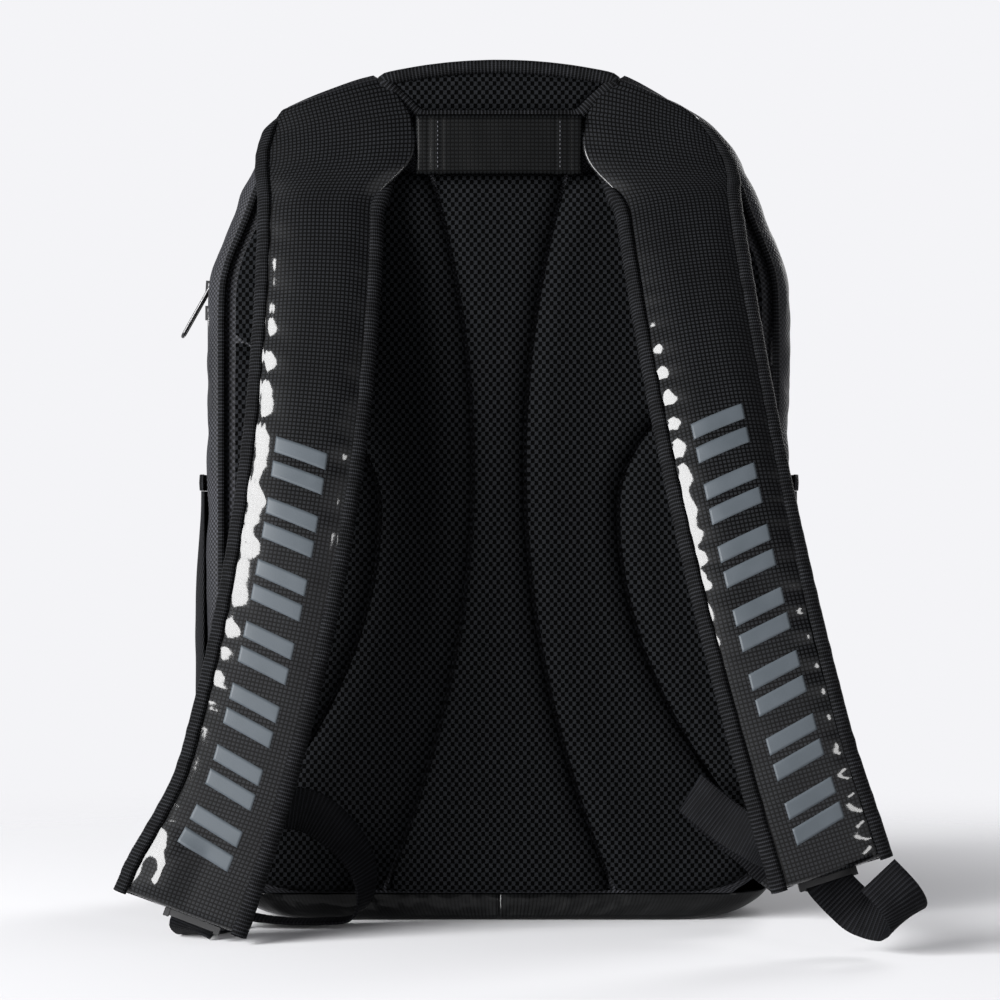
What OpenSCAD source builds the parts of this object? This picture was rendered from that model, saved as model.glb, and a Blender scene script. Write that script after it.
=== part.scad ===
// Racket backpack: a soft bag on a stiff back, with padded shoulder straps, ladder-lock webbing,
// a grab handle, a zipped front that folds down, a racket sleeve and two bottle pockets.
// +Z is up, -Y is the wearer's side, and the origin is the middle of the face the bag stands on.

/* [Bag] */
// Height of the bag
bag_h = 500; // [420:5:600]
// Width of the bag across the side walls
bag_w = 344; // [290:2:410]
// Depth from the back panel to the closed zip
rear_depth = 92; // [75:1:120]
// Depth from the closed zip to the front face
front_depth = 66; // [55:1:90]
// How much shallower the front part is at the top, as a share
front_taper = 0.35; // [0:0.05:0.4]
// Radius of the shoulders seen from the back
shoulder_r = 125; // [95:1:135]
// Rise of the top above the shoulder arcs
crown_rise = 8.5; // [5:0.5:20]
// Radius of the lower corners seen from the back
corner_r = 50; // [30:1:60]
// Radius of the edge between the walls and the back panel
rear_r = 14; // [10:1:20]
// Radius of the edge between the walls and the front face
front_r = 30; // [20:1:36]
// Thickness of a padded wall
wall = 2; // [1.5:0.1:3]
// Height of the base tub
base_h = 16; // [12:1:24]
// Height of the fold that the front opens about
fold_z = 72; // [60:1:100]

/* [Back pads] */
// Thickness of the mesh covered pads
pad_t = 12; // [8:0.5:16]
// Half width of the middle channel at its waist
channel_half = 15; // [10:1:30]
// Height of the waist of the middle channel
waist_z = 265; // [200:5:320]
// Width of the sewn gap between pads
channel_gap = 2.4; // [1.5:0.1:4]
// Height of the top of the pads
pad_top = 434; // [400:1:440]
// Half width of the gap between the two hip pads where they come closest
hip_half = 69; // [50:1:90]

/* [Shoulder straps] */
// Width of a strap with its bindings
strap_w = 66; // [55:1:75]
// Width of the folded edge binding
binding_w = 6; // [4:0.5:9]
// Distance of each strap's top from the middle of the bag
strap_x = 102; // [90:1:110]
// Height of the seam that a strap hangs from
strap_top = 425; // [400:1:430]
// Length of the strap foam below the surface, at the edges
strap_base_t = 3.4; // [2:0.2:6]
// Height of the crowned middle of the strap above its edges
strap_crown = 3.5; // [2:0.5:6]
// How far the strap's top stands off the back panel
strap_off = 25; // [23:1:30]
// Forward reach, splay and end height of the left strap
left_strap = [100, 68, 14.5];
// Forward reach, splay and end height of the right strap
right_strap = [145, 76, 43];

/* [Webbing and buckles] */
// Width of the webbing
webbing_w = 25; // [20:1:30]
// Thickness of the webbing
webbing_t = 1.6; // [1.2:0.1:2.2]
// Radius of the bar that the ladder lock hangs on
lock_bar_r = 1.8; // [1.4:0.1:2.4]

/* [Zips] */
// Width of the zip tape on each side of the teeth
tape_w = 5; // [4:0.5:8]
// Width of one row of teeth
teeth_w = 1.7; // [1.4:0.1:2.5]
// Length of a slider
slider_l = 13; // [10:0.5:16]
// Length of a puller
puller_l = 34; // [25:1:40]
// Radius of the wire of a puller
puller_r = 1.1; // [0.8:0.1:1.4]

/* [Grab handle] */
// Length of the free part of the handle
handle_l = 75; // [60:1:85]
// Height of the handle band
handle_w = 35; // [28:1:38]
// Thickness of the handle band
handle_t = 5; // [4:0.5:8]

/* [Pockets] */
// Gap inside a bottle pocket between its cover and the side wall
pocket_gap = 5.5; // [5:0.5:20]
// Height of the bottle pocket's mouth
pocket_top = 250; // [200:5:270]
// Depth of the racket sleeve
sleeve_gap = 22; // [15:1:30]
// Width of the racket sleeve
sleeve_w = 250; // [220:2:270]
// Height of the racket sleeve's mouth
sleeve_top = 395; // [360:5:410]

/* [Hidden] */

$fn = 24;
gap = 0.3; // space between pieces that lie on each other
half_w = bag_w / 2;
back_y = -80; // outer face of the back panel
zip_y = back_y + rear_depth + teeth_w + tape_w; // middle of the closed zip
front_y = zip_y + tape_w + front_depth;
rear_wall_end = back_y + rear_depth; // front edge of the side gusset
front_wall_start = zip_y + teeth_w + tape_w + gap;
straight_y = front_y - front_r;
tape_t = 1.2;
lining_t = 0.8;

// The outline is a three-centred arch on straight sides: [x, z] of the arc centres.
shoulder_x = half_w - shoulder_r;
shoulder_z = bag_h - shoulder_r - crown_rise;
crown_z = (pow(bag_h - shoulder_r, 2) - pow(shoulder_x, 2) - pow(shoulder_z, 2)) / (2 * crown_rise);
crown_r = bag_h - crown_z;
shoulder_turn = atan2(shoulder_z - crown_z, shoulder_x);
shoulder_steps = 10;
crown_steps = 5;
corner_steps = 8;

function arc(centre, r, from, to, steps, first = 0) =
    [for (i = [first:steps]) let (a = from + (to - from) * i / steps) centre + r * [cos(a), sin(a)]];

// Right half of the outline from height z_from up to the middle of the top, moved in by inset.
function half_outline(inset, z_from) = concat(
    z_from < corner_r
        ? arc([half_w - corner_r, corner_r], corner_r - inset,
            -asin((corner_r - z_from) / (corner_r - inset)), 0, corner_steps)
        : [[half_w - inset, z_from]],
    arc([shoulder_x, shoulder_z], shoulder_r - inset, 0, shoulder_turn, shoulder_steps),
    arc([0, crown_z], crown_r - inset, shoulder_turn, 90, crown_steps, 1));

function flip(points) = [for (i = [len(points) - 1:-1:0]) points[i]];
function mirrored(points) = [for (p = points) [-p[0], p[1]]];
function along_outline(inset, z_from) =
    let (h = half_outline(inset, z_from)) concat(h, flip(mirrored([for (i = [0:len(h) - 2]) h[i]])));
function full_outline(inset) = along_outline(inset, inset);

// Depth of a point whose depth at floor level is y: the front part gets shallower upwards.
function lean_y(y, z) = y <= zip_y ? y : zip_y + (y - zip_y) * (1 - front_taper * z / bag_h);

// A solid through rings of equal length, closed at both ends.
module skin(rings) {
    n = len(rings[0]);
    last = len(rings) - 1;
    polyhedron(
        points = [for (r = rings) each r],
        faces = concat(
            [[for (i = [0:n - 1]) i]],
            [for (k = [0:last - 1]) for (i = [0:n - 1]) let (j = (i + 1) % n)
                each [[k * n + i, (k + 1) * n + i, (k + 1) * n + j], [k * n + i, (k + 1) * n + j, k * n + j]]],
            [[for (i = [n - 1:-1:0]) last * n + i]]));
}

// A wall that follows the outline from z_from on the right, over the top, to z_from on the left.
// Each station is [depth, inset], and the wall goes inwards from it.
module strip(stations, z_from, t) {
    outer = [for (s = stations) along_outline(s[1], z_from)];
    inner = [for (s = stations) along_outline(s[1] + t, z_from)];
    last = len(stations) - 1;
    skin([for (k = [0:len(outer[0]) - 1]) concat(
        [for (i = [0:last]) let (p = outer[i][k]) [p[0], lean_y(stations[i][0], p[1]), p[1]]],
        [for (i = [last:-1:0]) let (p = inner[i][k]) [p[0], lean_y(stations[i][0], p[1]), p[1]]])]);
}

rear_stations = concat(
    [for (a = [90:-30:30]) [back_y + rear_r * (1 - sin(a)), rear_r * (1 - cos(a))]],
    [[back_y + rear_r, 0], [rear_wall_end, 0]]);
front_stations = concat(
    [[front_wall_start, 0]],
    [for (a = [0:22.5:90]) [straight_y + front_r * sin(a), front_r * (1 - cos(a))]]);

// A flat piece in the plane of the back, from depth y0 to y1.
module upright(y0, y1) { translate([0, y1, 0]) rotate([90, 0, 0]) linear_extrude(y1 - y0) children(); }
module outline_shape(inset) { polygon(full_outline(inset)); }

// A flat piece that leans: its depth is y0 to y1 at height z0 and changes by slope for each millimetre up.
module leaning(points, y0, y1, z0, slope) {
    skin([for (y = [y1, y0]) [for (p = points) [p[0], y + slope * (p[1] - z0), p[1]]]]);
}

// ---- Back ----
module rear_panel() {
    color("#17181a") upright(back_y, back_y + 1.5) difference() {
        outline_shape(rear_r + wall + 2 * gap);
        translate([-half_w, -1]) square([bag_w, base_h + 1 + gap]);
    }
}
module inner_sheet(y0, t, inset) {
    upright(y0, y0 + t) difference() {
        outline_shape(inset);
        translate([-half_w, -1]) square([bag_w, base_h + 8]);
    }
}
back_foam_y = back_y + 1.5 + gap;
frame_sheet_y = back_foam_y + 4 + gap;
rear_lining_y = frame_sheet_y + 1.5 + gap;
compartment_back = rear_lining_y + lining_t + gap;
module back_foam() { color("#3a3a3c") inner_sheet(back_foam_y, 4, rear_r + 6); }
module frame_sheet() { color("#101012") inner_sheet(frame_sheet_y, 1.5, rear_r + 8); }
module rear_lining() { color("#4c4f53") inner_sheet(rear_lining_y, lining_t, rear_r + 4); }

// Half widths of the two sewn lines at height z.
function channel_x(z) = channel_half + 0.00085 * pow(z - waist_z, 2);
hip_z = waist_z - 25;
function hip_x(z) = hip_half + (z < hip_z ? 0.00223 : 0.0085) * pow(z - hip_z, 2);
pad_inset = rear_r + 5;
pad_bottom = base_h + 2;
seam_steps = 16;
hip_top = hip_z + 72;
hip_low = pad_bottom + 48;
function seam_line(z0, z1, shift, curve) = [for (i = [0:seam_steps]) let (z = z0 + (z1 - z0) * i / seam_steps)
    [(curve == 0 ? channel_x(z) : hip_x(z)) + shift, z]];

module centre_back_pad() {
    right = seam_line(pad_bottom, pad_top, -channel_gap / 2, 0);
    color("#1b1b1d") upright(back_y - gap - pad_t, back_y - gap)
        polygon(concat(right, flip(mirrored(right))));
}
module hip_region(grow) {
    line = seam_line(hip_low, hip_top, -grow, 1);
    polygon(concat(line, [[bag_w, hip_top], [bag_w, hip_low]]));
}
module side_pad_shape() {
    difference() {
        intersection() {
            polygon(concat(seam_line(pad_bottom, pad_top, channel_gap / 2, 0),
                [[bag_w, pad_top], [bag_w, pad_bottom]]));
            outline_shape(pad_inset);
        }
        hip_region(channel_gap / 2);
    }
}
module back_pad(side) {
    color("#1b1b1d") upright(back_y - gap - pad_t, back_y - gap) scale([side, 1]) side_pad_shape();
}
module hip_pad(side) {
    color("#1b1b1d") upright(back_y - gap - pad_t, back_y - gap) scale([side, 1]) intersection() {
        hip_region(-channel_gap / 2);
        outline_shape(pad_inset);
        translate([0, hip_low + channel_gap]) square([bag_w, hip_top - hip_low - 2 * channel_gap]);
    }
}

module rear_piping() {
    // It ends where the yokes begin.
    side = [for (p = half_outline(rear_r - 3, base_h + 1)) if (p[1] < bag_h - 36) p];
    color("#0e0e10") for (points = [side, flip(mirrored(side))])
        skin([for (p = points) let (r = 2.2, reach = norm([p[0], p[1] - bag_h / 2]))
            [for (a = [0:60:300]) [p[0] * (1 + r * cos(a) / reach), back_y - r - 0.5 + r * sin(a),
                bag_h / 2 + (p[1] - bag_h / 2) * (1 + r * cos(a) / reach)]]]);
}

// ---- Neck pad and its binding ----
neck_half = 45;
neck_bottom = strap_top + handle_w + 9;
neck_edge = [[neck_half, neck_bottom], [neck_half + 17, bag_h - 12], [30, bag_h - 4], [0, bag_h - 2.5]];
function neck_shape(shrink) = let (c = [0, (neck_bottom + bag_h) / 2])
    [for (p = concat(neck_edge, flip(mirrored([for (i = [0:2]) neck_edge[i]]))))
        [p[0] - sign(p[0]) * shrink * 1.4, p[1] - sign(p[1] - c[1]) * shrink]];
neck_y = back_y - gap;
module neck_pad() { color("#1b1b1d") upright(neck_y - 8, neck_y) polygon(neck_shape(4.2)); }
module neck_binding() {
    color("#0e0e10") upright(neck_y - 4, neck_y) difference() {
        polygon(neck_shape(0));
        polygon(neck_shape(4));
    }
}

// ---- Walls ----
module side_gusset() { color("#1c1d20") strip(rear_stations, base_h + gap, wall); }
module gusset_lining() {
    color("#4c4f53") strip([[compartment_back, wall + gap + 1], [rear_wall_end, wall + gap]],
        base_h + gap, lining_t);
}
// The lower part of the bag, with round corners in plan.
module tub(y0, y1, z0, z1, inset) {
    intersection() {
        upright(y0, y1) outline_shape(inset);
        translate([0, 0, z0]) linear_extrude(z1 - z0) offset_box(y0, y1, inset);
    }
}
module offset_box(y0, y1, inset) {
    r = front_r - inset;
    x = half_w - inset;
    polygon(concat(
        [[x, y0], [x, y1 - r]],
        arc([x - r, y1 - r], r, 0, 90, 6, 1),
        arc([-x + r, y1 - r], r, 90, 180, 6),
        [[-x, y0]]));
}
module base_panel() {
    color("#1a1b1d") difference() {
        intersection() {
            tub(back_y + 3, front_y, 0, base_h, 0);
            translate([0, back_y + front_y + 3, 0]) mirror([0, 1, 0])
                tub(back_y + 3, front_y, 0, base_h, 0);
        }
        tub(back_y + 3 + wall, front_y - wall, wall, base_h + 1, wall);
    }
}
module base_board() {
    color("#101012") translate([-half_w + corner_r, back_y + rear_r, wall + gap])
        cube([bag_w - 2 * corner_r, front_y - back_y - rear_r - front_r, 2]);
}
module lower_front_panel() {
    color("#1c1d20") difference() {
        tub(rear_wall_end + gap, front_y, base_h + gap, fold_z - gap, 0);
        tub(rear_wall_end - 1, front_y - wall, base_h, fold_z, wall);
    }
}

// ---- Main zip ----
zip_low = fold_z + 1;
module zip_half(tape_from, teeth_from) {
    strip([[tape_from, 0], [tape_from + tape_w - gap, 0]], zip_low, tape_t);
    strip([[teeth_from, -1], [teeth_from + teeth_w, -1]], zip_low, 2.2);
}
module rear_zip_tape() {
    color("#0c0c0d") zip_half(rear_wall_end + gap / 2, zip_y - teeth_w - 0.1);
}
module front_zip_tape() {
    color("#0c0c0d") zip_half(front_wall_start - tape_w, zip_y + 0.1);
}

// ---- Inside ----
module laptop_sleeve() {
    w = 250;
    top = 330;
    low = base_h + 12;
    color("#4c4f53") difference() {
        translate([-w / 2, compartment_back, low]) cube([w, 20, top - low]);
        translate([-w / 2 + 3, compartment_back + 1, low + 3]) cube([w - 6, 15, top]);
    }
}

// ---- Grab handle ----
handle_y = back_y - 17;
handle_z = strap_top + 7;
module handle_cover() {
    color("#1a1b1d") difference() {
        translate([-handle_l / 2, handle_y - handle_t / 2, handle_z]) cube([handle_l, handle_t, handle_w]);
        translate([-handle_l / 2 - 1, handle_y - handle_t / 2 + 1.4, handle_z + 2.4])
            cube([handle_l + 2, handle_t - 2.8, handle_w - 4.8]);
    }
}
module handle_core() {
    color("#0c0c0d") translate([-handle_l / 2, handle_y - handle_t / 2 + 1.5, handle_z + 3])
        cube([handle_l, handle_t - 3, handle_w - 6]);
}
module handle_tabs() {
    reach = yoke_inner_x - gap - handle_l / 2 - 2 * gap;
    color("#1a1b1d") for (side = [-1, 1]) scale([side, 1, 1])
        translate([handle_l / 2 + 2 * gap, handle_y - handle_t / 2, handle_z])
            cube([reach, handle_t, handle_w]);
}

// ---- Yokes: the fixed upper ends of the straps ----
yoke_inner_x = 48;
yoke_t = 9;
yoke_top = bag_h - 13;
yoke_slope = (strap_off - 4.8) / (yoke_top - strap_top);
yoke_points = [[strap_x - strap_w / 2, strap_top], [strap_x + strap_w / 2, strap_top],
    [strap_x + strap_w / 2 + 2, strap_top + 20], [strap_x + 17, bag_h - 37], [64, yoke_top],
    [yoke_inner_x, neck_bottom - 2], [yoke_inner_x, handle_z - 1]];
module yoke(side) {
    points = [for (p = yoke_points) [side * p[0], p[1]]];
    color("#1a1b1d") leaning(side > 0 ? points : flip(points),
        back_y - 4.8 - yoke_t / 2, back_y - 4.8 + yoke_t / 2, yoke_top, yoke_slope);
}

// ---- Straps: one smooth route each, with a frame across and outwards ----
function strap_of(side) = side < 0 ? left_strap : right_strap;
strap_start = strap_top - 5.5;
function strap_point(side, u) = let (s = strap_of(side), early = side < 0 ? 0 : 0.5)
    [side * (strap_x + s[1] * (early * u + (1 - early) * pow(u, side < 0 ? 2.15 : 2))),
        back_y - strap_off - (s[0] - strap_off) * (1 - pow(1 - u, 2)),
        strap_start + (s[2] - strap_start) * u];
function unit(v) = v / norm(v);
function strap_along(side, u) = unit(strap_point(side, min(1, u + 0.01)) - strap_point(side, max(0, u - 0.01)));
function strap_out(side, u) = let (t = strap_along(side, u), f = [side * 0.12 * u, -1, 0]) unit(f - (f * t) * t);
function strap_across(side, u) = cross(strap_along(side, u), strap_out(side, u));
strap_steps = 24;
function swept(side, section) = [for (i = [0:strap_steps]) let (u = i / strap_steps,
    o = strap_point(side, u), w = strap_across(side, u), n = strap_out(side, u))
    [for (p = section) o + p[0] * w + p[1] * n]];

pad_half = strap_w / 2 - binding_w;
function crown(a) = 2 + strap_crown * (1 - pow(a / pad_half, 2));
crown_at = [for (i = [0:6]) pad_half * (i / 3 - 1)];
module strap_cover(side) {
    color("#1a1b1d") skin(swept(side, concat(
        [for (a = crown_at) [a, crown(a) + 1.2]], flip([for (a = crown_at) [a, crown(a) + 0.1]]))));
}
module strap_foam(side) {
    a1 = pad_half - 0.3;
    color("#3a3a3c") skin(swept(side, concat([for (a = crown_at) [a * a1 / pad_half, crown(a)]],
        [[a1, -strap_base_t], [-a1, -strap_base_t]])));
}
module strap_lining(side) {
    color("#1b1b1d") skin(swept(side, [[-pad_half, -strap_base_t - 0.1], [pad_half, -strap_base_t - 0.1],
        [pad_half, -strap_base_t - 1.6], [-pad_half, -strap_base_t - 1.6]]));
}
module strap_binding(side) {
    color("#0e0e10") for (edge = [-1, 1]) let (a0 = edge * (pad_half + 0.1), a1 = edge * strap_w / 2,
        square_section = [[a0, 3.4], [a1, 2], [a1, -3.6], [a0, -5]])
        skin(swept(side, edge > 0 ? square_section : flip(square_section)));
}

// ---- Ladder locks, in the frame of the strap's end: x across, y along, z outwards ----
module at_strap_end(side) {
    o = strap_point(side, 1);
    w = strap_across(side, 1);
    t = strap_along(side, 1);
    n = strap_out(side, 1);
    multmatrix([[w[0], t[0], n[0], o[0]], [w[1], t[1], n[1], o[1]], [w[2], t[2], n[2], o[2]]]) children();
}
lock_y = -18; // bar that the loop goes round, along the strap
lock_z = -(strap_base_t + 1.6 + gap + 4);
lock_l = 26;
loop_r = lock_bar_r + 0.5;
rail = 3;
rail_t = 3.6;
slot_w = webbing_w + 2;
module lock_bar(y, d) { translate([-slot_w / 2 - 1, y - d / 2, lock_z - 1.4]) cube([slot_w + 2, d, 2.8]); }
centre_bar_y = lock_y + 10;
grip_bar_y = lock_y + 20;
module ladder_lock(side) {
    color("#0b0b0c") at_strap_end(side) {
        translate([-slot_w / 2 - 1, lock_y, lock_z]) rotate([0, 90, 0]) cylinder(r = lock_bar_r, h = slot_w + 2);
        for (edge = [-1, 1]) translate([edge * (slot_w + rail) / 2 - rail / 2, lock_y - 3, lock_z - rail_t / 2])
            cube([rail, lock_l, rail_t]);
        lock_bar(centre_bar_y, 3);
        lock_bar(grip_bar_y, 4);
    }
}
module lock_loop(side) {
    sewn = lock_y - 30;
    color("#0e0e10") at_strap_end(side) translate([-webbing_w / 2, 0, 0]) rotate([90, 0, 90])
        linear_extrude(webbing_w) difference() {
            union() {
                translate([lock_y, lock_z]) circle(r = loop_r + webbing_t);
                polygon([[lock_y, lock_z + loop_r + webbing_t], [lock_y, lock_z - loop_r - webbing_t],
                    [sewn, lock_z - webbing_t - 1], [sewn, lock_z + webbing_t - 1]]);
            }
            translate([lock_y, lock_z]) circle(r = loop_r);
            polygon([[lock_y, lock_z + loop_r], [lock_y, lock_z - loop_r],
                [sewn + 8, lock_z - 1.1], [sewn + 8, lock_z - 0.9]]);
        }
}

// ---- Webbing: a flat band along a route, each point [x, y, z] with its own direction across ----
function spline(p, t) = let (n = len(p) - 1, k = min(n - 1, floor(t * n)), f = t * n - k,
    p0 = p[max(0, k - 1)], p1 = p[k], p2 = p[k + 1], p3 = p[min(n, k + 2)])
    0.5 * (2 * p1 + (p2 - p0) * f + (2 * p0 - 5 * p1 + 4 * p2 - p3) * f * f
        + (3 * p1 - p0 - 3 * p2 + p3) * f * f * f);
band_steps = 44;
module band(route, across) {
    skin([for (i = [0:band_steps]) let (t = i / band_steps, o = spline(route, t),
        d = unit(spline(route, min(1, t + 0.01)) - spline(route, max(0, t - 0.01))),
        w0 = spline(across, t), w = unit(w0 - (w0 * d) * d), n = cross(d, w))
        [for (c = [[-1, -1], [1, -1], [1, 1], [-1, 1]])
            o + c[0] * webbing_w / 2 * w + c[1] * webbing_t / 2 * n]]);
}
function lock_place(side, y, z) = strap_point(side, 1) + y * strap_along(side, 1) + z * strap_out(side, 1);
function lock_places(side, list) = [for (p = list) lock_place(side, p[0], lock_z + p[1])];
anchor_x = half_w - 13;
anchor_z = 33;
anchor_y = back_y - 7;
anchor_turn = 37;
module webbing_anchors() {
    color("#1a1b1d") for (side = [-1, 1]) translate([side * anchor_x, anchor_y, anchor_z])
        rotate([0, side * anchor_turn, 0]) translate([-9, -1.8, -webbing_w / 2]) cube([18, 4, webbing_w]);
}
// The lower webbing comes up behind the lock and ends in the slot above the centre bar.
entry = [[grip_bar_y + 4, -9.5], [grip_bar_y - 1, -5.8], [centre_bar_y + 4, -4.6], [centre_bar_y - 0.5, -3.7],
    [centre_bar_y - 3.6, -0.6]];
// The tail starts in front of the centre bar and leaves behind the grip bar.
exit = [[centre_bar_y - 2, 2.5], [centre_bar_y + 2, 2.4], [centre_bar_y + 7.4, -2.5], [grip_bar_y + 2, -2.6]];
function near_anchor(side, x, y, z) = [side * (anchor_x + x), anchor_y + y, anchor_z + z];
module lower_webbing(side) {
    slack = side < 0
        ? [[0, -5.6, -3], [2, -13, -15], [-8, -16, -25], [-32, -17, -29.5], [-58, -18, -29.8], [-76, -19, -27],
            [-83, -21, -11], [-78, -24, 9], [-62, -28, 27], [-45, -33, 36], [-25, -45, 33], [-12, -60, 12]]
        : [[0, -5, -1], [-11, -8.8, 10], [-29, -12, 25], [-43, -16, 38], [-49, -22, 44], [-43, -28, 39],
            [-26, -36, 26], [-8, -52, 17], [8, -86, 13]];
    turn = side < 0
        ? [[0.6, 0, -0.8], [0.3, 0.8, -0.4], [0.1, 1, 0], [0, 1, 0], [0, 1, 0], [0.1, 1, 0], [0.4, 0.9, 0],
            [0.6, 0.75, 0.3], [0.55, 0.4, 0.73], [0.5, 0.1, 0.85], [0.8, 0.1, 0.5], [0.95, 0, 0]]
        : [[0.6, 0, 0.8], [0.55, 0, 0.83], [0.5, 0, 0.86], [0.5, 0, 0.86], [0.5, 0, 0.86], [0.5, 0, 0.86],
            [0.5, 0, 0.86], [0.6, 0, 0.7], [0.8, 0, 0.4]];
    color("#0e0e10") band(concat([for (s = slack) near_anchor(side, s[0], s[1], s[2])], lock_places(side, entry)),
        concat(turn, [for (e = entry) -strap_across(side, 1)]));
}
left_tail = [[-1, 8, -4], [2, 22, -7.5], [8, 42, -8], [16, 62, -8]];
right_tail = [[10, 1, -10], [19, -1, -17], [33, -9, -20], [40, -21, -16], [36, -28, -6], [24, -25, 7]];
module webbing_tail(side) {
    start = lock_place(side, grip_bar_y + 3, lock_z - 2.6);
    flat = side < 0 ? [[0.98, 0, -0.2], [1, 0.1, 0], [1, 0.3, 0], [1, 0.4, 0]]
        : [for (i = [1:6]) let (k = min(1, i / 3)) [0.98 - 0.19 * k, 0, 0.2 + 0.41 * k]];
    color("#0e0e10") band(
        concat(lock_places(side, exit), [for (s = side < 0 ? left_tail : right_tail) start + s]),
        concat([for (e = exit) -strap_across(side, 1)], flat));
}

// ---- Bottle pockets on the side walls ----
pocket_y0 = back_y + rear_r + 2;
pocket_y1 = rear_wall_end - 4;
pocket_low = base_h + 4;
pocket_t = 1.2;
module pocket_block(y0, y1, outset, z0, z1, side) {
    intersection() {
        upright(y0, y1) outline_shape(-outset);
        translate([side > 0 ? half_w - 40 : -half_w - 40, y0, z0]) cube([80, y1 - y0, z1 - z0]);
    }
}
module bottle_pocket(side) {
    color("#141416") difference() {
        pocket_block(pocket_y0, pocket_y1, pocket_gap + pocket_t, pocket_low, pocket_top, side);
        pocket_block(pocket_y0 + pocket_t, pocket_y1 - pocket_t, pocket_gap, pocket_low + pocket_t,
            pocket_top + 1, side);
        upright(pocket_y0 - 1, pocket_y1 + 1) outline_shape(-2 * gap);
    }
}
module bottle_pocket_hems() {
    h = 10;
    color("#0e0e10") for (side = [-1, 1]) difference() {
        pocket_block(pocket_y0, pocket_y1, pocket_gap + pocket_t + 0.4, pocket_top + gap, pocket_top + h, side);
        pocket_block(pocket_y0 + pocket_t, pocket_y1 - pocket_t, pocket_gap - 0.4, pocket_top,
            pocket_top + h + 1, side);
        upright(pocket_y0 - 1, pocket_y1 + 1) outline_shape(-gap);
    }
}

// ---- Front: the part that folds down ----
face_slope = -(front_y - zip_y) * front_taper / bag_h;
face_y = front_y; // at floor level
module flap_walls() { color("#1c1d20") strip(front_stations, fold_z + gap, wall); }
function clip_low(points, z) = [for (p = points) if (p[1] > z) p];
module flap_face() {
    inside = clip_low(full_outline(front_r + wall + gap), fold_z + gap);
    x = half_w - front_r - wall - gap;
    color("#1c1d20") leaning(concat([[x, fold_z + gap]], inside, [[-x, fold_z + gap]]),
        face_y - wall, face_y, 0, face_slope);
}
module flap_lining() {
    inside = clip_low(full_outline(front_r + 4), fold_z + 4);
    x = half_w - front_r - 4;
    color("#4c4f53") leaning(concat([[x, fold_z + 4]], inside, [[-x, fold_z + 4]]),
        face_y - wall - gap - lining_t, face_y - wall - gap, 0, face_slope);
}

// ---- Racket sleeve on the front, open at the top ----
sleeve_low = fold_z + 10;
sleeve_half = sleeve_w / 2;
function sleeve_outline(inset, top) = let (r = 40 - inset, x = sleeve_half - inset)
    concat([[x, top]], arc([x - r, sleeve_low + inset + r], r, 0, -90, 6),
        arc([-x + r, sleeve_low + inset + r], r, -90, -180, 6), [[-x, top]]);
sleeve_t = 2;
module racket_sleeve() {
    color("#1a1b1d") difference() {
        leaning(flip(sleeve_outline(0, sleeve_top)), face_y + gap, face_y + sleeve_gap + sleeve_t, 0, face_slope);
        leaning(flip(sleeve_outline(sleeve_t, sleeve_top + 5)), face_y - 2, face_y + sleeve_gap, 0, face_slope);
    }
}
module sleeve_hem() {
    h = 9;
    band_points = [[sleeve_half, sleeve_top + gap], [sleeve_half, sleeve_top + h],
        [-sleeve_half, sleeve_top + h], [-sleeve_half, sleeve_top + gap]];
    inner_points = [[sleeve_half - sleeve_t, sleeve_top - 2], [sleeve_half - sleeve_t, sleeve_top + h + 2],
        [-sleeve_half + sleeve_t, sleeve_top + h + 2], [-sleeve_half + sleeve_t, sleeve_top - 2]];
    color("#0e0e10") difference() {
        leaning(band_points, face_y + gap, face_y + sleeve_gap + sleeve_t, 0, face_slope);
        leaning(inner_points, face_y - 2, face_y + sleeve_gap, 0, face_slope);
    }
}

// ---- Accessory pocket, flat on the sleeve, with a zip along its top ----
accessory_w = 200;
accessory_low = sleeve_low + 22;
accessory_top = accessory_low + 138;
accessory_y = face_y + sleeve_gap + sleeve_t + gap;
accessory_t = 5;
accessory_slope = face_slope;
module accessory_pocket() {
    x = accessory_w / 2;
    r = 22;
    points = concat([[x, accessory_top]], arc([x - r, accessory_low + r], r, 0, -90, 5),
        arc([-x + r, accessory_low + r], r, -90, -180, 5), [[-x, accessory_top]]);
    color("#1c1d20") leaning(flip(points), accessory_y, accessory_y + accessory_t, 0, accessory_slope);
}
accessory_zip_z = accessory_top + gap + tape_w + teeth_w;
function accessory_face(z) = accessory_y + accessory_slope * z;
module accessory_zip() {
    x = accessory_w / 2;
    z0 = accessory_top + gap;
    color("#0c0c0d") {
        leaning([[x, z0], [x, z0 + 2 * tape_w + 2 * teeth_w], [-x, z0 + 2 * tape_w + 2 * teeth_w], [-x, z0]],
            accessory_y, accessory_y + tape_t, 0, accessory_slope);
        leaning([[x, accessory_zip_z - teeth_w], [x, accessory_zip_z + teeth_w],
            [-x, accessory_zip_z + teeth_w], [-x, accessory_zip_z - teeth_w]],
            accessory_y + tape_t, accessory_y + tape_t + 1.2, 0, accessory_slope);
    }
}

// ---- Sliders and pullers. In their own frame z points away from the teeth and x along the zip ----
slider_w = 8.4;
slider_t = 1.4;
slider_lift = 0.4; // over the teeth
bail_h = 4.6;
pivot_h = slider_lift + slider_t + 1.9;
module slider_shape() {
    color("#17171a") {
        translate([-slider_l / 2, -slider_w / 2, slider_lift]) cube([slider_l, slider_w, slider_t]);
        for (end = [-1, 1]) translate([end * 3.6 - 0.8, -1.6, slider_lift + slider_t])
            cube([1.6, 3.2, bail_h - slider_t]);
        translate([-4.4, -1.6, slider_lift + slider_t + bail_h - slider_t]) cube([8.8, 3.2, 1.4]);
    }
}
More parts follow.
